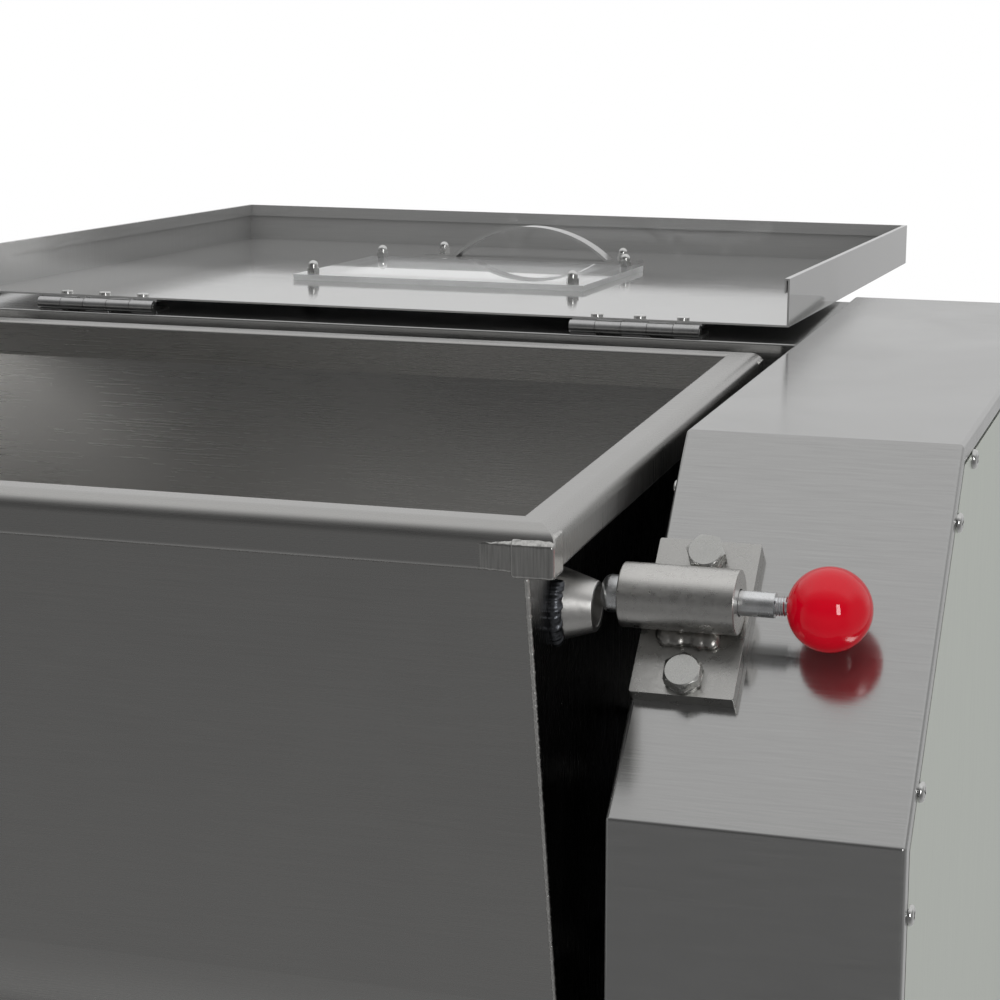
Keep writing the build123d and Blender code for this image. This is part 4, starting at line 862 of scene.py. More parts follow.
@dataclass
class CoverScrews:
    """The domed, cross-slotted screws of both side covers, modelled once and copied."""

    rack: FinishRack
    node: bpy.types.Object
    inner_screw: Triple = (0.263, -0.326, 0.912)
    head_radius: float = 0.0050
    head_height: float = 0.0026
    dome: float = 0.0020
    shank_radius: float = 0.0025
    shank_length: float = 0.010
    slot_width: float = 0.0011
    slot_length: float = 0.0052
    slot_depth: float = 0.0012
    apart: float = 0.02
    slot_turn: float = 0.65

    def build(self) -> None:
        """Model the screws, put them in place of the plain ones, and add the one inside the gap."""
        finish = PlatedSteel("screw_steel", (0.62, 0.62, 0.61), 0.17)
        master = self.model()
        screws = [Bench.copy(master, place) for place in self.places()]
        inner = Matrix.Translation(self.inner_screw) @ turned(-90.0, "Y")
        single = Bench.join("inner_side_screw", [Bench.copy(master, inner)])
        Bench.scrap(master)
        whole = Bench.join("cover_screw_set", screws)
        self.rack.fit(whole, Body.ROOT, "plated_fastener", finish, "cover_screws")
        self.rack.fit(single, Body.ROOT, "plated_fastener", finish)

    def model(self) -> bpy.types.Object:
        """Model one screw: a domed head on Z with a cross slot, and its shank.

        Returns:
            The screw, with the underside of its head at the origin.
        """
        screw = Bench.drum("cover_screw", self.head_radius, 0.0, self.head_height, sides=32)
        with Bench.editing(screw):
            Bench.pick_edges(lambda a, b: min(a.z, b.z) > self.head_height - NEAR)
            bpy.ops.mesh.bevel(offset=self.dome, segments=5, profile=0.5, affect="EDGES")
            Bench.pick_faces(lambda centre, normal: normal.z < -FACING)
            bpy.ops.mesh.inset(thickness=self.head_radius - self.shank_radius)
            Bench.push((0.0, 0.0, -self.shank_length))
        half = self.slot_width / 2.0
        reach = self.slot_length / 2.0
        floor = self.head_height - self.slot_depth
        top = 2.0 * self.head_height
        for low, high in (
            ((-reach, -half, floor), (reach, half, top)),
            ((-half, -reach, floor), (half, reach, top)),
        ):
            Bench.carve(screw, Bench.block("slot_cutter", low, high), Cut.AWAY)
        return screw

    def places(self) -> list[Matrix]:
        """Find where the plain screws stand and which way they look.

        Returns:
            A matrix for each screw.
        """
        found: list[Vector] = []
        for vertex in self.node.data.vertices:
            spot = vertex.co
            near = [s for s in found if s.x * spot.x > 0.0 and (s.yz - spot.yz).length < self.apart]
            if not near:
                found.append(spot.copy())
            elif abs(spot.x) > abs(near[0].x):
                near[0].x = spot.x
        places = []
        for index, seed in enumerate(found):
            group = [
                v.co for v in self.node.data.vertices
                if v.co.x * seed.x > 0.0 and (v.co.yz - seed.yz).length < self.apart
            ]
            side = math.copysign(1.0, seed.x)
            middle = [(min(p[k] for p in group) + max(p[k] for p in group)) / 2.0 for k in (1, 2)]
            turn = turned(90.0 * side, "Y") @ Matrix.Rotation(self.slot_turn * index, 4, "Z")
            places.append(Matrix.Translation((seed.x - side * self.head_height, *middle)) @ turn)
        return places


@dataclass
class BowlLock:
    """The bowl's lock on the drive housing's slope: plate, bolts, spring barrel, weld and thread.

    Its own frame has X along the plunger, Z off the slope, and its origin on the slope.
    """

    rack: FinishRack
    slope: float = 45.0
    axis_height: float = 0.0245
    plate_low: Triple = (0.0007, -0.0425, 0.0)
    plate_high: Triple = (0.0507, 0.0425, 0.008)
    plate_corner: float = 0.0011
    plate_edge: float = 0.0006
    bolt_x: float = 0.0257
    bolt_out: float = 0.0327
    bolt_width: float = 0.017
    bolt_radius: float = 0.005
    bolt_hole: float = 0.0055
    bolt_turns: tuple[Pair, ...] = ((1.0, 24.0), (-1.0, 2.0))
    drill_span: Pair = (-0.01, 0.02)
    fine_edge: float = 0.0002
    lathe_room: float = 1.01
    lathe_flat: float = 0.47
    overlap: float = 0.001
    head_height: float = 0.0064
    head_chamfer: float = 0.0009
    shank_end: float = -0.0125
    nut_low: float = -0.0095
    nut_high: float = -0.0015
    washer_radius: float = 0.0089
    washer_height: float = 0.0012
    barrel_radius: float = 0.0155
    barrel_span: Pair = (-0.0067, 0.0492)
    barrel_edge: float = 0.0009
    chamber_radius: float = 0.011
    chamber_span: Pair = (0.004, 0.046)
    pin_bore: float = 0.0097
    shank_bore: float = 0.0066
    foot_low: Triple = (0.004, -0.009, 0.008)
    foot_high: Triple = (0.046, 0.009, 0.0128)
    weld_span: Pair = (0.0135, 0.0325)
    weld_out: float = 0.0117
    weld_height: float = 0.0096
    weld_run: WeldRun = WeldRun(drop=0.0064, pitch=0.0052, length=0.8, height=0.5, lean=28.0, melt=8)
    thread_span: Pair = (0.0664, 0.0722)
    thread_pitch: float = 0.00125
    thread_radius: float = 0.0041
    thread_share: float = 0.55
    spring_radius: float = 0.0083
    spring_wire: float = 0.0016
    spring_turns: int = 6
    plunger_stroke: float = 0.012

    def build(self) -> None:
        """Model the lock's pieces and put them in place."""
        place = self.place()
        bar = PlatedSteel("bar_plate", (0.47, 0.465, 0.45), 0.30, grain=1500.0, depth=0.000035)
        bolt = PlatedSteel("bolt_zinc", (0.46, 0.46, 0.445), 0.26, grain=1400.0, depth=0.00002, mottle=0.14)
        tube = PlatedSteel("barrel_steel", (0.63, 0.62, 0.60), 0.30, grain=2400.0, depth=0.000014, mottle=0.1)
        melt = PlatedSteel("weld_bright", (0.42, 0.41, 0.39), 0.32, grain=700.0, depth=0.00006)
        for piece, body, finish, node in (
            (self.plate(), Body.ROOT, bar, "latch_plate"),
            (self.bolts(), Body.ROOT, bolt, "latch_bolts"),
            (self.barrel(), Body.ROOT, tube, "latch_barrel"),
            (self.weld(), Body.ROOT, melt, None),
            (self.thread(), Body.LOCK_PLUNGER, ZINC_PIN, None),
        ):
            piece.data.transform(place)
            slot = "plated_fastener" if node == "latch_bolts" else "turned_steel"
            self.rack.fit(piece, body, slot, finish, node)
        self.fit_spring(place)

    def place(self) -> Matrix:
        """Work out where the lock's frame stands, from the plunger and the housing.

        Returns:
            The frame's matrix.
        """
        low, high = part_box("lock_pin")
        axis = (low + high) / 2.0
        turn = turned(self.slope, "X")
        off = turn.to_3x3() @ Vector((0.0, 0.0, self.axis_height))
        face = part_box("drive_housing_shell")[0].x
        return Matrix.Translation((face, axis.y - off.y, axis.z - off.z)) @ turn

    def plate(self) -> bpy.types.Object:
        """Model the flat bar that carries the barrel, with rounded corners and two bolt holes.

        Returns:
            The bar.
        """
        plate = Bench.block("latch_plate_bar", self.plate_low, self.plate_high)
        with Bench.editing(plate):
            Bench.pick_edges(lambda a, b: abs(a.z - b.z) > 0.5 * self.plate_high[2])
            bpy.ops.mesh.bevel(offset=self.plate_corner, segments=4, affect="EDGES")
        for side in (-1.0, 1.0):
            drill = Bench.drum("drill", self.bolt_hole, *self.drill_span, sides=48)
            drill.data.transform(Matrix.Translation((self.bolt_x, side * self.bolt_out, 0.0)))
            Bench.carve(plate, drill, Cut.AWAY)
        Bench.round_edges(plate, self.plate_edge, segments=2, angle=50.0)
        return plate

    def hexagon(self, name: str, low: float, high: float) -> bpy.types.Object:
        """Model a hexagon whose upper corners are turned off.

        Args:
            name: Its name.
            low: Its underside on Z.
            high: Its top on Z.

        Returns:
            The hexagon.
        """
        corner = self.bolt_width / math.sqrt(3.0)
        room = self.lathe_room * corner
        piece = Bench.drum(name, corner, low, high, sides=6)
        lathe = Bench.drum("lathe", room, low - self.overlap, high - self.head_chamfer, sides=96)
        with Bench.editing(lathe):
            Bench.pick_faces(lambda centre, normal: normal.z > FACING)
            bpy.ops.mesh.inset(thickness=room - self.lathe_flat * self.bolt_width)
            bpy.ops.transform.translate(value=(0.0, 0.0, self.head_chamfer))
        Bench.carve(piece, lathe, Cut.TO_SHAPE)
        Bench.round_edges(piece, self.fine_edge, segments=2, angle=25.0)
        return piece

    def washer(self, low: float) -> bpy.types.Object:
        """Model a flat washer.

        Args:
            low: Its underside on Z.

        Returns:
            The washer.
        """
        ring = Bench.drum("washer", self.washer_radius, low, low + self.washer_height)
        with Bench.editing(ring):
            Bench.pick_edges(lambda a, b: abs(a.z - b.z) < NEAR)
            bpy.ops.mesh.bevel(offset=self.fine_edge, segments=2, affect="EDGES")
            Bench.pick_faces(lambda centre, normal: abs(normal.z) > FACING)
            bpy.ops.mesh.inset(thickness=self.washer_radius - self.bolt_hole)
            bpy.ops.mesh.bridge_edge_loops()
        return ring

    def bolts(self) -> bpy.types.Object:
        """Model one bolt with its washer and nut, and copy it to both holes.

        Returns:
            The bolts.
        """
        seat = self.plate_high[2]
        under = seat + self.washer_height
        bolt = self.hexagon("latch_bolt", under, under + self.head_height)
        shank = Bench.drum("shank", self.bolt_radius, self.shank_end, under + self.overlap, sides=48)
        Bench.carve(bolt, shank, Cut.TOGETHER)
        nut = self.hexagon("latch_nut", self.nut_low, self.nut_high)
        Bench.carve(nut, Bench.drum("tap", self.bolt_radius, self.shank_end, 0.0, sides=48), Cut.AWAY)
        whole = Bench.join("latch_bolt_set", [bolt, nut, self.washer(seat)])
        twins = []
        for side, turn in self.bolt_turns:
            spot = Matrix.Translation((self.bolt_x, side * self.bolt_out, 0.0))
            twins.append(Bench.copy(whole, spot @ turned(turn, "Z")))
        Bench.scrap(whole)
        return Bench.join("latch_bolt_set", twins)

    def barrel(self) -> bpy.types.Object:
        """Model the spring barrel on its axis, bored for the plunger, and its foot on the plate.

        Returns:
            The barrel.
        """
        start, end = self.barrel_span
        inner, outer = self.chamber_span
        barrel = Bench.drum("latch_barrel_tube", self.barrel_radius, start, end, sides=96)
        with Bench.editing(barrel):
            Bench.pick_faces(lambda centre, normal: normal.z < -FACING)
            bpy.ops.mesh.inset(thickness=self.barrel_radius - self.pin_bore)
            Bench.push((0.0, 0.0, inner - start))
            Bench.push((0.0, 0.0, 0.0))
            widen = self.chamber_radius / self.pin_bore
            bpy.ops.transform.resize(value=(widen, widen, 1.0), center_override=(0.0, 0.0, inner))
            Bench.push((0.0, 0.0, outer - inner))
            Bench.pick_faces(lambda centre, normal: normal.z > FACING and centre.z > end - NEAR)
            bpy.ops.mesh.inset(thickness=self.barrel_radius - self.shank_bore)
            Bench.push((0.0, 0.0, outer - end))
            Bench.pick_faces(
                lambda centre, normal: abs(centre.z - outer) < NEAR and centre.xy.length < 10.0 * NEAR
            )
            bpy.ops.mesh.bridge_edge_loops()
            Bench.pick_edges(lambda a, b: self.on_rim(a) and self.on_rim(b))
            bpy.ops.mesh.bevel(offset=self.barrel_edge, segments=2, affect="EDGES")
        barrel.data.transform(Matrix.Translation((0.0, 0.0, self.axis_height)) @ turned(90.0, "Y"))
        Bench.carve(barrel, Bench.block("foot", self.foot_low, self.foot_high), Cut.TOGETHER)
        return barrel

    def on_rim(self, point: Vector) -> bool:
        """Tell whether a point is on one of the barrel's two outer end edges."""
        at_end = min(abs(point.z - end) for end in self.barrel_span) < NEAR
        return at_end and point.xy.length > 0.99 * self.barrel_radius

    def weld(self) -> bpy.types.Object:
        """Lay the weld between the barrel and its plate, on both sides.

        Returns:
            The weld.
        """
        run = self.weld_run
        start, end = self.weld_span
        count = round((end - start) / run.pitch) + 1
        sides = []
        for side in (-1.0, 1.0):
            line = [
                Vector((start + index * run.pitch, side * self.weld_out, self.weld_height))
                for index in range(count)
            ]
            sides.append(run.lay("barrel_weld", line, Vector((0.0, 0.0, 1.0))))
        return Bench.join("barrel_weld", sides)

    def coil(
        self, name: str, start: float, pitch: float, turns: int, radius: float, wire: float, sides: int
    ) -> bpy.types.Object:
        """Wind a coil round the plunger's axis.

        Args:
            name: The coil's name.
            start: Where it starts along the plunger.
            pitch: The distance between its turns.
            turns: How many turns it has.
            radius: The radius of its turns, to the middle of the wire.
            wire: The wire's radius.
            sides: How many sides the wire has.

        Returns:
            The coil.
        """
        bpy.ops.object.select_all(action="DESELECT")
        bpy.ops.mesh.primitive_circle_add(
            vertices=sides, radius=wire, location=(start, 0.0, radius), rotation=(math.radians(90.0), 0.0, 0.0)
        )
        coil = Bench.settle(name)
        Bench.modify(coil, "SCREW", axis="X", screw_offset=pitch, iterations=turns, steps=32, render_steps=32)
        with Bench.editing(coil):
            bpy.ops.mesh.select_all(action="SELECT")
            bpy.ops.mesh.remove_doubles(threshold=1e-6)
            bpy.ops.mesh.fill_holes(sides=sides)
            bpy.ops.mesh.normals_make_consistent(inside=False)
        coil.data.transform(Matrix.Translation((0.0, 0.0, self.axis_height)))
        return coil

    def thread(self) -> bpy.types.Object:
        """Wind the thread on the plunger's stud, which shows in front of the ball.

        Returns:
            The thread.
        """
        start, end = self.thread_span
        pitch = self.thread_pitch
        turns = int((end - start) / pitch)
        wire = self.thread_share * pitch
        return self.coil("plunger_thread", start, pitch, turns, self.thread_radius, wire, sides=3)

    def fit_spring(self, place: Matrix) -> None:
        """Wind the spring inside the barrel as a fixed coil; nothing here shortens it as the plunger is pulled.

        Args:
            place: The lock's frame.
        """
        low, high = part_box("latch_spring")
        length = high.x - low.x - self.spring_wire
        start = low.x - place.translation.x + 0.5 * self.spring_wire
        pitch = length / self.spring_turns
        wire = 0.5 * self.spring_wire
        spring = self.coil(
            "latch_spring_coil", start, pitch, self.spring_turns, self.spring_radius, wire, sides=12
        )
        spring.data.transform(place)
        self.rack.fit(spring, Body.ROOT, "spring_steel", SPRING_STEEL, "latch_spring")
        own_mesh(spring)


@dataclass
class BowlWelds:
    """What the welder left on the bowl: its lock socket, corner seams and ground rim corners."""

    rack: FinishRack
    lean: float = 1.0
    mouth: float = 0.208
    top: float = 0.204
    radius: float = 0.165
    sheet: float = 0.002
    rim_half: float = 0.228
    rim_bar: float = 0.020
    rim_top: float = 0.226
    socket_base: float = 0.0176
    socket_mouth: float = 0.012
    socket_bore: float = 0.0096
    socket_bore_depth: float = 0.016
    socket_edge: float = 0.0006
    socket_weld_reach: float = 46.0
    socket_weld_out: float = 0.0012
    socket_weld_rise: float = 0.001
    socket_run: WeldRun = WeldRun(
        drop=0.0042, pitch=0.0017, length=0.4, height=1.1, lean=42.0, grain=0.0004, melt=4
    )
    seam_inset: float = 0.0005
    seam_run: WeldRun = WeldRun(drop=0.0013, pitch=0.0022, length=1.5, height=1.0, lean=14.0)
    ground_slope: float = 0.0045
    ground_edge: float = 0.0016
    ground_grain: float = 0.0005
    ripple_size: float = 0.0030
    ripple_height: float = 0.0009
    cap_overhang: float = 0.0004
    cap_reach: Pair = (-0.0150, 0.0019)
    cap_height: Pair = (-0.0237, -0.0040)
    strip_overlap: float = 0.0030
    strip_length: float = 0.0170
    strip_reach: Pair = (-0.0080, 0.0016)
    strip_height: Pair = (-0.0215, -0.0043)
    strip_fade: float = 0.0018

    def build(self) -> None:
        """Model the socket and the welds and put them on the bowl."""
        cone = PlatedSteel("socket_steel", (0.70, 0.69, 0.67), 0.32, grain=1700.0, depth=0.00003, mottle=0.08)
        dark = PlatedSteel("weld_dark", (0.10, 0.105, 0.115), 0.34, grain=900.0, depth=0.00005)
        seam = PlatedSteel("weld_seam", (0.66, 0.65, 0.63), 0.3, grain=500.0, depth=0.0001)
        ground = SheetSteel(
            "ground_weld", (0.50, 0.495, 0.48), 0.2, lines=800.0, breaks=45.0, depth=0.00002, tone=0.3,
            along=Axis.Z,
        )
        self.rack.fit(self.socket(), Body.BOWL, "turned_steel", cone, "lock_socket")
        self.rack.fit(self.socket_weld(), Body.BOWL, "bowl_stainless", dark)
        self.rack.fit(self.seams(), Body.BOWL, "bowl_stainless", seam)
        self.rack.fit(self.rim_corners(), Body.BOWL, "bowl_stainless", ground)

    def place(self) -> Matrix:
        """Give the bowl's frame: on its shaft, leaning as it stands at rest.

        Returns:
            The frame's matrix.
        """
        low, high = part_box("mixing_shaft")
        centre = (low + high) / 2.0
        return Matrix.Translation((0.0, centre.y, centre.z)) @ turned(self.lean, "X")

    def socket(self) -> bpy.types.Object:
        """Model the coned socket that the plunger enters.

        Returns:
            The socket.
        """
        low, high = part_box("lock_socket")
        depth = high.x - low.x
        bpy.ops.object.select_all(action="DESELECT")
        bpy.ops.mesh.primitive_cone_add(
            vertices=96, radius1=self.socket_base, radius2=self.socket_mouth, depth=depth,
            location=(0.0, 0.0, depth / 2.0),
        )
        socket = Bench.settle("lock_socket_cone")
        with Bench.editing(socket):
            Bench.pick_faces(lambda centre, normal: normal.z > FACING)
            bpy.ops.mesh.inset(thickness=self.socket_mouth - self.socket_bore)
            Bench.push((0.0, 0.0, -self.socket_bore_depth))
            Bench.pick_edges(
                lambda a, b: min(a.z, b.z) > depth - NEAR and abs(a.xy.length - b.xy.length) < NEAR
            )
            bpy.ops.mesh.bevel(offset=self.socket_edge, segments=2, affect="EDGES")
        spot = Matrix.Translation((low.x, (low.y + high.y) / 2.0, (low.z + high.z) / 2.0))
        socket.data.transform(spot @ turned(90.0, "Y"))
        return socket

    def socket_weld(self) -> bpy.types.Object:
        """Lay the rope-like weld round the front of the socket's foot.

        Returns:
            The weld.
        """
        low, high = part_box("lock_socket")
        middle = (low + high) / 2.0
        middle.x = low.x + self.socket_weld_rise
        ring = self.socket_base + self.socket_weld_out
        count = round(2.0 * math.radians(self.socket_weld_reach) * ring / self.socket_run.pitch)
        points = []
        for index in range(count + 1):
            angle = math.radians(self.socket_weld_reach * (2.0 * index / count - 1.0))
            points.append(middle + ring * Vector((0.0, -math.cos(angle), math.sin(angle))))
        return self.socket_run.lay("socket_weld", points, Vector((1.0, 0.0, 0.0)))

    def outline(self, pitch: float) -> list[Vector]:
        """Follow the trough's outer edge from the front of the rim round to the back.

        Args:
            pitch: The distance between points.

        Returns:
            Points in the bowl's frame, with X left at 0.
        """
        reach = math.hypot(self.mouth, self.top)
        rise = math.atan2(self.top, self.mouth) - math.acos(self.radius / reach)
        outer = self.radius + self.sheet
        normal = Vector((0.0, math.cos(rise), math.sin(rise)))
        tangent = Vector((0.0, -math.sin(rise), math.cos(rise)))
        wall = math.sqrt(reach ** 2 - self.radius ** 2)
        steps = round(wall / pitch)
        rear = [outer * normal + (wall * step / steps) * tangent for step in range(1, steps)]
        front = [Vector((0.0, -point.y, point.z)) for point in reversed(rear)]
        sweep = math.pi + 2.0 * rise
        turns = round(outer * sweep / pitch)
        angles = [math.pi - rise + sweep * step / turns for step in range(turns + 1)]
        curve = [Vector((0.0, outer * math.cos(angle), outer * math.sin(angle))) for angle in angles]
        return front + curve + rear

    def seams(self) -> bpy.types.Object:
        """Lay the thin seams where the trough meets its two end plates.

        Returns:
            The seams.
        """
        low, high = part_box("bowl_ends")
        line = self.outline(self.seam_run.pitch)
        runs = []
        for side in (low.x + self.seam_inset, high.x - self.seam_inset):
            points = [Vector((side, point.y, point.z)) for point in line]
            runs.append(self.seam_run.lay("bowl_seams", points, Vector((1.0, 0.0, 0.0))))
        seams = Bench.join("bowl_seams", runs)
        seams.data.transform(self.place())
        return seams

    def rim_corners(self) -> bpy.types.Object:
        """Model the weld metal ground off at the rim's four corners: a cap and a flatter strip at each.

        Returns:
            The weld metal.
        """
        low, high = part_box("bowl_rim")
        blocks = []
        for edge, inward in ((low.x, 1.0), (high.x, -1.0)):
            inner = edge + self.rim_bar * inward
            cap = (edge - self.cap_overhang * inward, inner)
            strip = (inner - self.strip_overlap * inward, inner + self.strip_length * inward)
            for front in (-1.0, 1.0):
                blocks.append(self.ground_block(cap, self.cap_reach, self.cap_height, front, 0.0))
                blocks.append(
                    self.ground_block(strip, self.strip_reach, self.strip_height, front, self.strip_fade)
                )
        corners = Bench.join("rim_corner_welds", blocks)
        corners.data.transform(self.place())
        return corners

    def ground_block(
        self, across: Pair, reach: Pair, height: Pair, front: float, fade: float
    ) -> bpy.types.Object:
        """Model one ground block of weld metal with a sloped front and uneven edges.

        Args:
            across: Where it starts and ends along X, its outer end first.
            reach: How far its back and its front stand out of the rim's face.
            height: Its underside and its top, from the rim's top.
            front: -1 for the front of the bowl, 1 for its back.
            fade: How far its inner end sinks into the rim.

        Returns:
            The block.
        """
        corners = [
            (x, front * (self.rim_half + out), self.rim_top + up) for x, out, up in zip(across, reach, height)
        ]
        low = tuple(min(pair) for pair in zip(*corners))
        high = tuple(max(pair) for pair in zip(*corners))
        block = Bench.block("ground_weld", low, high)
        face = max(front * low[1], front * high[1])
        inward = math.copysign(1.0, across[1] - across[0])
        with Bench.editing(block):
            Bench.pick_edges(
                lambda a, b: min(a.z, b.z) > high[2] - NEAR and min(front * a.y, front * b.y) > face - NEAR
            )
            bpy.ops.mesh.bevel(offset=self.ground_slope, segments=1, affect="EDGES")
            Bench.pick_faces(lambda centre, normal: normal.x * inward > FACING)
            bpy.ops.transform.translate(value=(0.0, -front * fade, 0.0))
        Bench.round_edges(block, self.ground_edge, segments=3, angle=60.0)
        Bench.modify(block, "REMESH", mode="VOXEL", voxel_size=self.ground_grain)
        ripple = bpy.data.textures.new("weld_ripple", "CLOUDS")
        ripple.noise_scale = self.ripple_size
        Bench.modify(
            block, "DISPLACE", texture=ripple, texture_coords="LOCAL", direction="Z",
            strength=self.ripple_height, mid_level=0.5,
        )
        Bench.modify(block, "SMOOTH", factor=0.5, iterations=3)
        return block


@dataclass
class Dresser:
    """Gives each node of the model the finish of its real surface."""

    nodes: dict[str, bpy.types.Object]
    rack: FinishRack

    def dress(self) -> None:
        """Put a finish on every node, by its own name or else by its slot."""
        by_slot = self.slot_finishes()
        by_node = self.node_finishes()
        for name, node in self.nodes.items():
            slot = node.material_slots[0].material.name
            finish = by_node.get(name, by_slot.get(slot))
            if finish is None:
                LOG.warning("no finish for %s in slot %s", name, slot)
                continue
            for index in range(len(node.material_slots)):
                node.material_slots[index].material = self.rack.take(finish)
            LOG.info("%s wears %s", name, finish.name)

    @staticmethod
    def slot_finishes() -> dict[str, Finish]:
        """Give the finish of each of the record's material slots.

        Returns:
            The finishes by slot.
        """
        return {
            "brushed_stainless": SheetSteel(
                "housing_sheet", (0.42, 0.42, 0.415), 0.15, lines=1300.0, breaks=34.0, depth=0.000012,
                anisotropy=0.8, tone=0.09, metallic=0.95,
            ),
            "cover_stainless": SheetSteel("cover_sheet", (0.74, 0.775, 0.715), 0.40, anisotropy=0.5, tone=0.08),
            "bowl_stainless": SheetSteel(
                "bowl_sheet", (0.45, 0.445, 0.435), 0.28, lines=2600.0, depth=0.0000025, anisotropy=0.4,
                tone=0.03,
            ),
            "lid_stainless": SheetSteel(
                "lid_sheet", (0.40, 0.40, 0.395), 0.08, depth=0.000003, anisotropy=0.3, smudge=0.02,
                metallic=0.45,
            ),
            "turned_steel": TurnedSteel("turned_steel", (0.58, 0.575, 0.56), 0.26, depth=0.000004),
            "plated_fastener": PlatedSteel("plated_fastener", (0.66, 0.66, 0.65), 0.2),
            "hinge_steel": PlatedSteel("hinge_satin", (0.5, 0.5, 0.5), 0.32),
            "spring_steel": SPRING_STEEL,
            "drive_steel": PlatedSteel("oiled_drive_steel", (0.3, 0.29, 0.28), 0.34),
            "bronze": PlatedSteel("bronze", (0.62, 0.42, 0.2), 0.3),
            "frame_paint": GlossPlastic("frame_paint", (0.16, 0.17, 0.18), 0.45),
            "cast_grey": GlossPlastic("cast_paint", (0.2, 0.21, 0.22), 0.5, grain=500.0, depth=0.00008),
            "motor_paint": GlossPlastic("motor_paint", (0.07, 0.12, 0.2), 0.4),
            "clear_plate": ClearPlate("clear_plate", (0.97, 0.98, 0.98)),
            "red_ball": GlossPlastic("red_ball", (0.60, 0.0, 0.012), 0.06, vary=0.02),
            "black_rubber": GlossPlastic("black_rubber", (0.02, 0.02, 0.02), 0.6, depth=0.00004),
            "black_plastic": GlossPlastic("black_plastic", (0.025, 0.025, 0.026), 0.38),
            "green_plastic": GlossPlastic("green_plastic", (0.01, 0.28, 0.06), 0.3),
            "stop_red_plastic": GlossPlastic("stop_red_plastic", (0.5, 0.008, 0.008), 0.3),
        }

    @staticmethod
    def node_finishes() -> dict[str, Finish]:
        """Give the finish of the nodes that look different from the rest of their slot.

        Returns:
            The finishes by node.
        """
        blacked = PlatedSteel("blacked_steel", (0.03, 0.03, 0.032), 0.4)
        ends = EndSheet(
            "bowl_end_sheet", (0.45, 0.445, 0.435), 0.26, lines=2600.0, depth=0.0000025, anisotropy=0.4
        )
        return {"lock_pin": ZINC_PIN, "trunnion_sleeves": blacked, "bowl_hubs": blacked, "bowl_ends": ends}


@dataclass(frozen=True)
class Lamp:
    """A soft rectangular lamp, with the brightness of its face and whether steel reflects it."""

    name: str
    place: Triple
    aim: Triple
    width: float
    height: float
    radiance: float
    shows: bool

    def hang(self) -> None:
        """Hang the lamp at its place and turn it to its aim."""
        data = bpy.data.lights.new(self.name, "AREA")
        data.shape = "RECTANGLE"
        data.size, data.size_y = self.width, self.height
        data.energy = self.radiance * math.pi * self.width * self.height
        lamp = bpy.data.objects.new(self.name, data)
        bpy.context.scene.collection.objects.link(lamp)
        lamp.location = self.place
        look = Vector(self.aim) - Vector(self.place)
        lamp.rotation_euler = look.to_track_quat("-Z", "Y").to_euler()
        lamp.visible_glossy = self.shows
        lamp.visible_camera = False


@dataclass
class Studio:
    """A white backdrop, soft overhead light, a strip light by the camera, and the camera."""

    floor_size: float = 160.0
    floor_white: Colour = (0.88, 0.88, 0.88)
    floor_rough: float = 0.9
    glow: Pair = (0.35, 1.0)
    glow_span: Pair = (1.6, 4.5)
    lamps: tuple[Lamp, ...] = (
        Lamp(
            "overhead_lamp", place=(-0.3, -0.2, 3.4), aim=(-0.02, -0.15, 0.6), width=3.0, height=3.0,
            radiance=1.1, shows=False,
        ),
        Lamp(
            "strip_lamp", place=(1.96, -2.88, 1.60), aim=(0.35, -0.42, 0.88), width=0.5, height=1.4,
            radiance=9.0, shows=True,
        ),
    )
    camera_place: Triple = (0.547576, -1.530065, 1.181951)
    camera_turn: Triple = (77.431, 0.102, 17.408)
    lens: float = 91.41
    sensor: float = 36.0

    def build(self) -> None:
        """Set up the floor, the room's light, the lamps and the camera."""
        self.lay_floor()
        self.light_room()
        for lamp in self.lamps:
            lamp.hang()
        self.place_camera()

    def lay_floor(self) -> None:
        """Lay a pale floor that is white far away and keeps the machine's shadow near it."""
        bpy.ops.object.select_all(action="DESELECT")
        bpy.ops.mesh.primitive_plane_add(size=self.floor_size)
        floor = bpy.context.object
        floor.name = "floor"
        floor.visible_glossy = False
        sheet = NodeSheet("floor_white")
        cloud = sheet.noise(sheet.coords((3.0, 3.0, 3.0)))
        sheet.coat(sheet.shades(cloud, self.floor_white, 0.99, 1.0), self.floor_rough)
        sheet.set("Specular IOR Level", 0.0)
        reach = sheet.node("ShaderNodeVectorMath", operation="LENGTH")
        sheet.feed(reach.inputs[0], sheet.coords())
        far = sheet.span(reach.outputs["Value"], *self.glow, *self.glow_span)
        ray = sheet.node("ShaderNodeLightPath")
        seen = sheet.math(
            "MAXIMUM", ray.outputs["Is Camera Ray"],
            sheet.math("MAXIMUM", ray.outputs["Is Glossy Ray"], ray.outputs["Is Transmission Ray"]),
        )
        glow = sheet.node("ShaderNodeEmission")
        blend = sheet.node("ShaderNodeMixShader")
        sheet.feed(blend.inputs[0], sheet.math("MULTIPLY", far, seen))
        sheet.feed(blend.inputs[1], sheet.shader.outputs["BSDF"])
        sheet.feed(blend.inputs[2], glow.outputs["Emission"])
        sheet.feed(sheet.tree.nodes["Material Output"].inputs["Surface"], blend.outputs["Shader"])
        floor.data.materials.append(sheet.material)

    def light_room(self) -> None:
        """Make the room: white behind the machine, grey above, dim in front, and white to the camera."""
        world = bpy.data.worlds.new("studio")
        world.use_nodes = True
        bpy.context.scene.world = world
        RoomLight(world.node_tree).build()

    def place_camera(self) -> None:
        """Stand the camera where the photograph was taken from."""
        data = bpy.data.cameras.new("camera")
        data.lens = self.lens
        data.sensor_width = self.sensor
        data.clip_end = 4.0 * self.floor_size
        camera = bpy.data.objects.new("camera", data)
        bpy.context.scene.collection.objects.link(camera)
        camera.location = self.camera_place
        camera.rotation_euler = [math.radians(turn) for turn in self.camera_turn]
        bpy.context.scene.camera = camera


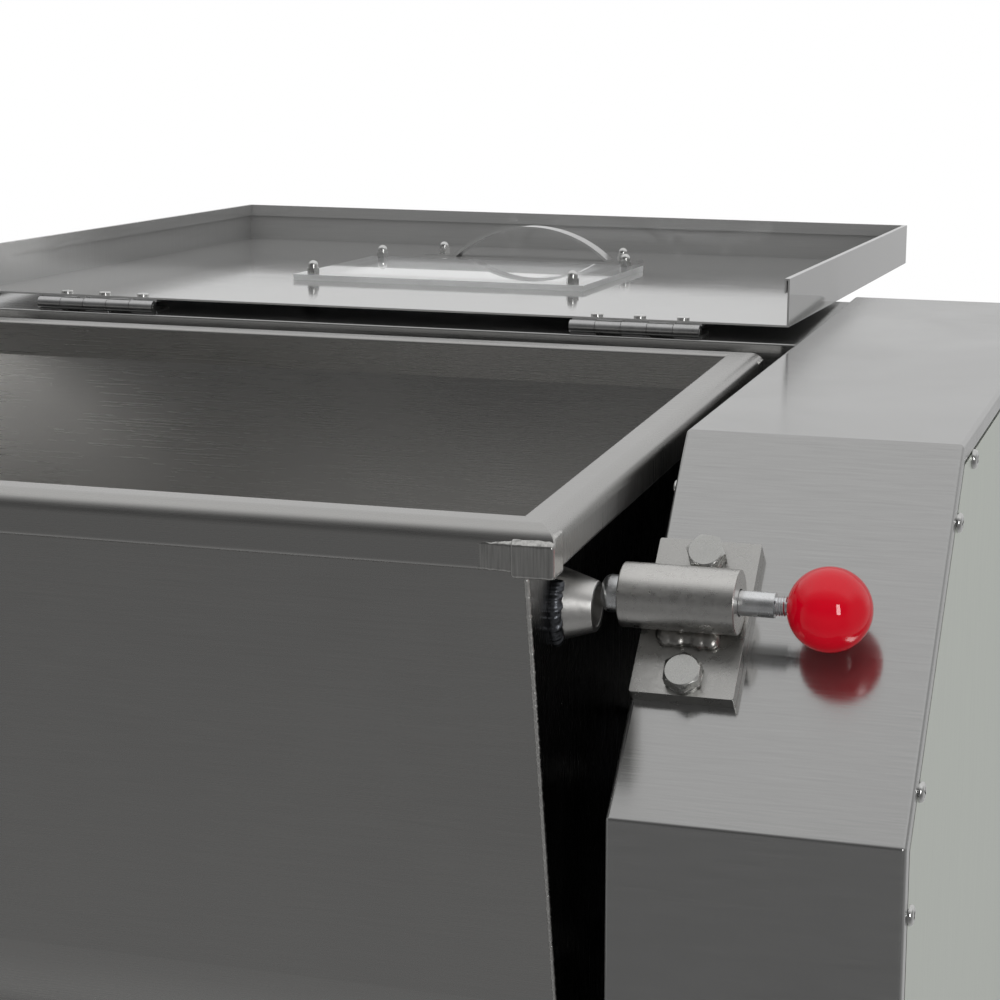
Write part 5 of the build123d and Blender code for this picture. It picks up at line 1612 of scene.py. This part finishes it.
@dataclass
class RoomLight(Wiring):
    """The room that polished steel reflects, as brightness round the X axis."""

    tree: bpy.types.NodeTree
    soft: float = 0.62
    side: float = 0.30
    side_span: Pair = (0.72, 0.97)
    stops: tuple[Pair, ...] = (
        (0.0, 0.13),
        (11.0, 0.08),
        (36.0, 0.12),
        (56.0, 0.40),
        (70.0, 0.80),
        (84.0, 0.86),
        (110.0, 0.82),
        (150.0, 0.78),
        (168.0, 0.76),
        (178.0, 0.76),
        (187.0, 0.55),
        (225.0, 0.52),
        (270.0, 0.40),
        (300.0, 0.26),
        (322.0, 0.17),
        (345.0, 0.19),
        (360.0, 0.13),
    )

    def build(self) -> None:
        """Wire the world: white for the camera, the room for reflections, soft light for the rest."""
        parts = self.node("ShaderNodeSeparateXYZ")
        self.feed(parts.inputs["Vector"], self.node("ShaderNodeTexCoord").outputs["Generated"])
        turn = self.math("ARCTAN2", parts.outputs["Z"], self.math("MULTIPLY", parts.outputs["Y"], -1.0))
        share = self.math("FRACT", self.math("ADD", self.math("DIVIDE", turn, 2.0 * math.pi), 1.0))
        ramp = self.node("ShaderNodeValToRGB")
        self.feed(ramp.inputs["Fac"], share)
        self.fill(ramp.color_ramp)
        aside = self.fade(self.math("ABSOLUTE", parts.outputs["X"]), self.side_span)
        room = self.math(
            "ADD",
            self.math("MULTIPLY", ramp.outputs["Color"], self.math("SUBTRACT", 1.0, aside)),
            self.math("MULTIPLY", aside, self.side),
        )
        ray = self.node("ShaderNodeLightPath")
        glossy = ray.outputs["Is Glossy Ray"]
        seen = self.math("MAXIMUM", ray.outputs["Is Camera Ray"], ray.outputs["Is Transmission Ray"])
        soft = self.math("MULTIPLY", self.math("SUBTRACT", 1.0, glossy), self.soft)
        level = self.math("ADD", self.math("MULTIPLY", glossy, room), soft)
        level = self.math("MAXIMUM", level, seen)
        back = self.tree.nodes["Background"]
        self.feed(back.inputs["Strength"], level)
        self.feed(back.inputs["Color"], WHITE)

    def fade(self, reach: Socket, span: Pair) -> Socket:
        """Rise smoothly from 0 to 1 over a span.

        Args:
            reach: How far a direction points sideways.
            span: Where the rise starts and ends.

        Returns:
            The value, from 0 to 1.
        """
        node = self.node("ShaderNodeMapRange", interpolation_type="SMOOTHSTEP")
        self.feed(node.inputs["Value"], reach)
        node.inputs["From Min"].default_value, node.inputs["From Max"].default_value = span
        return node.outputs["Result"]

    def fill(self, ramp: bpy.types.ColorRamp) -> None:
        """Set the ramp's stops from degrees and brightness.

        Args:
            ramp: The ramp to fill.
        """
        while len(ramp.elements) > 1:
            ramp.elements.remove(ramp.elements[-1])
        for index, (degrees, level) in enumerate(self.stops):
            stop = ramp.elements[0] if index == 0 else ramp.elements.new(degrees / 360.0)
            stop.position = degrees / 360.0
            stop.color = (level, level, level, 1.0)


def clear_startup() -> None:
    """Remove whatever the startup file holds."""
    for item in list(bpy.data.objects):
        Bench.scrap(item)


def main() -> None:
    """Load the machine, dress it, and set the studio round it."""
    logging.basicConfig(level=logging.INFO, format="%(name)s: %(message)s")
    clear_startup()
    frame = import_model()
    rack = FinishRack()
    Dresser(frame["nodes"], rack).dress()
    CoverScrews(rack, frame["nodes"]["cover_screws"]).build()
    BowlLock(rack).build()
    BowlWelds(rack).build()
    Studio().build()
    bpy.context.scene.view_settings.view_transform = "Standard"


if __name__ == "__main__":
    main()
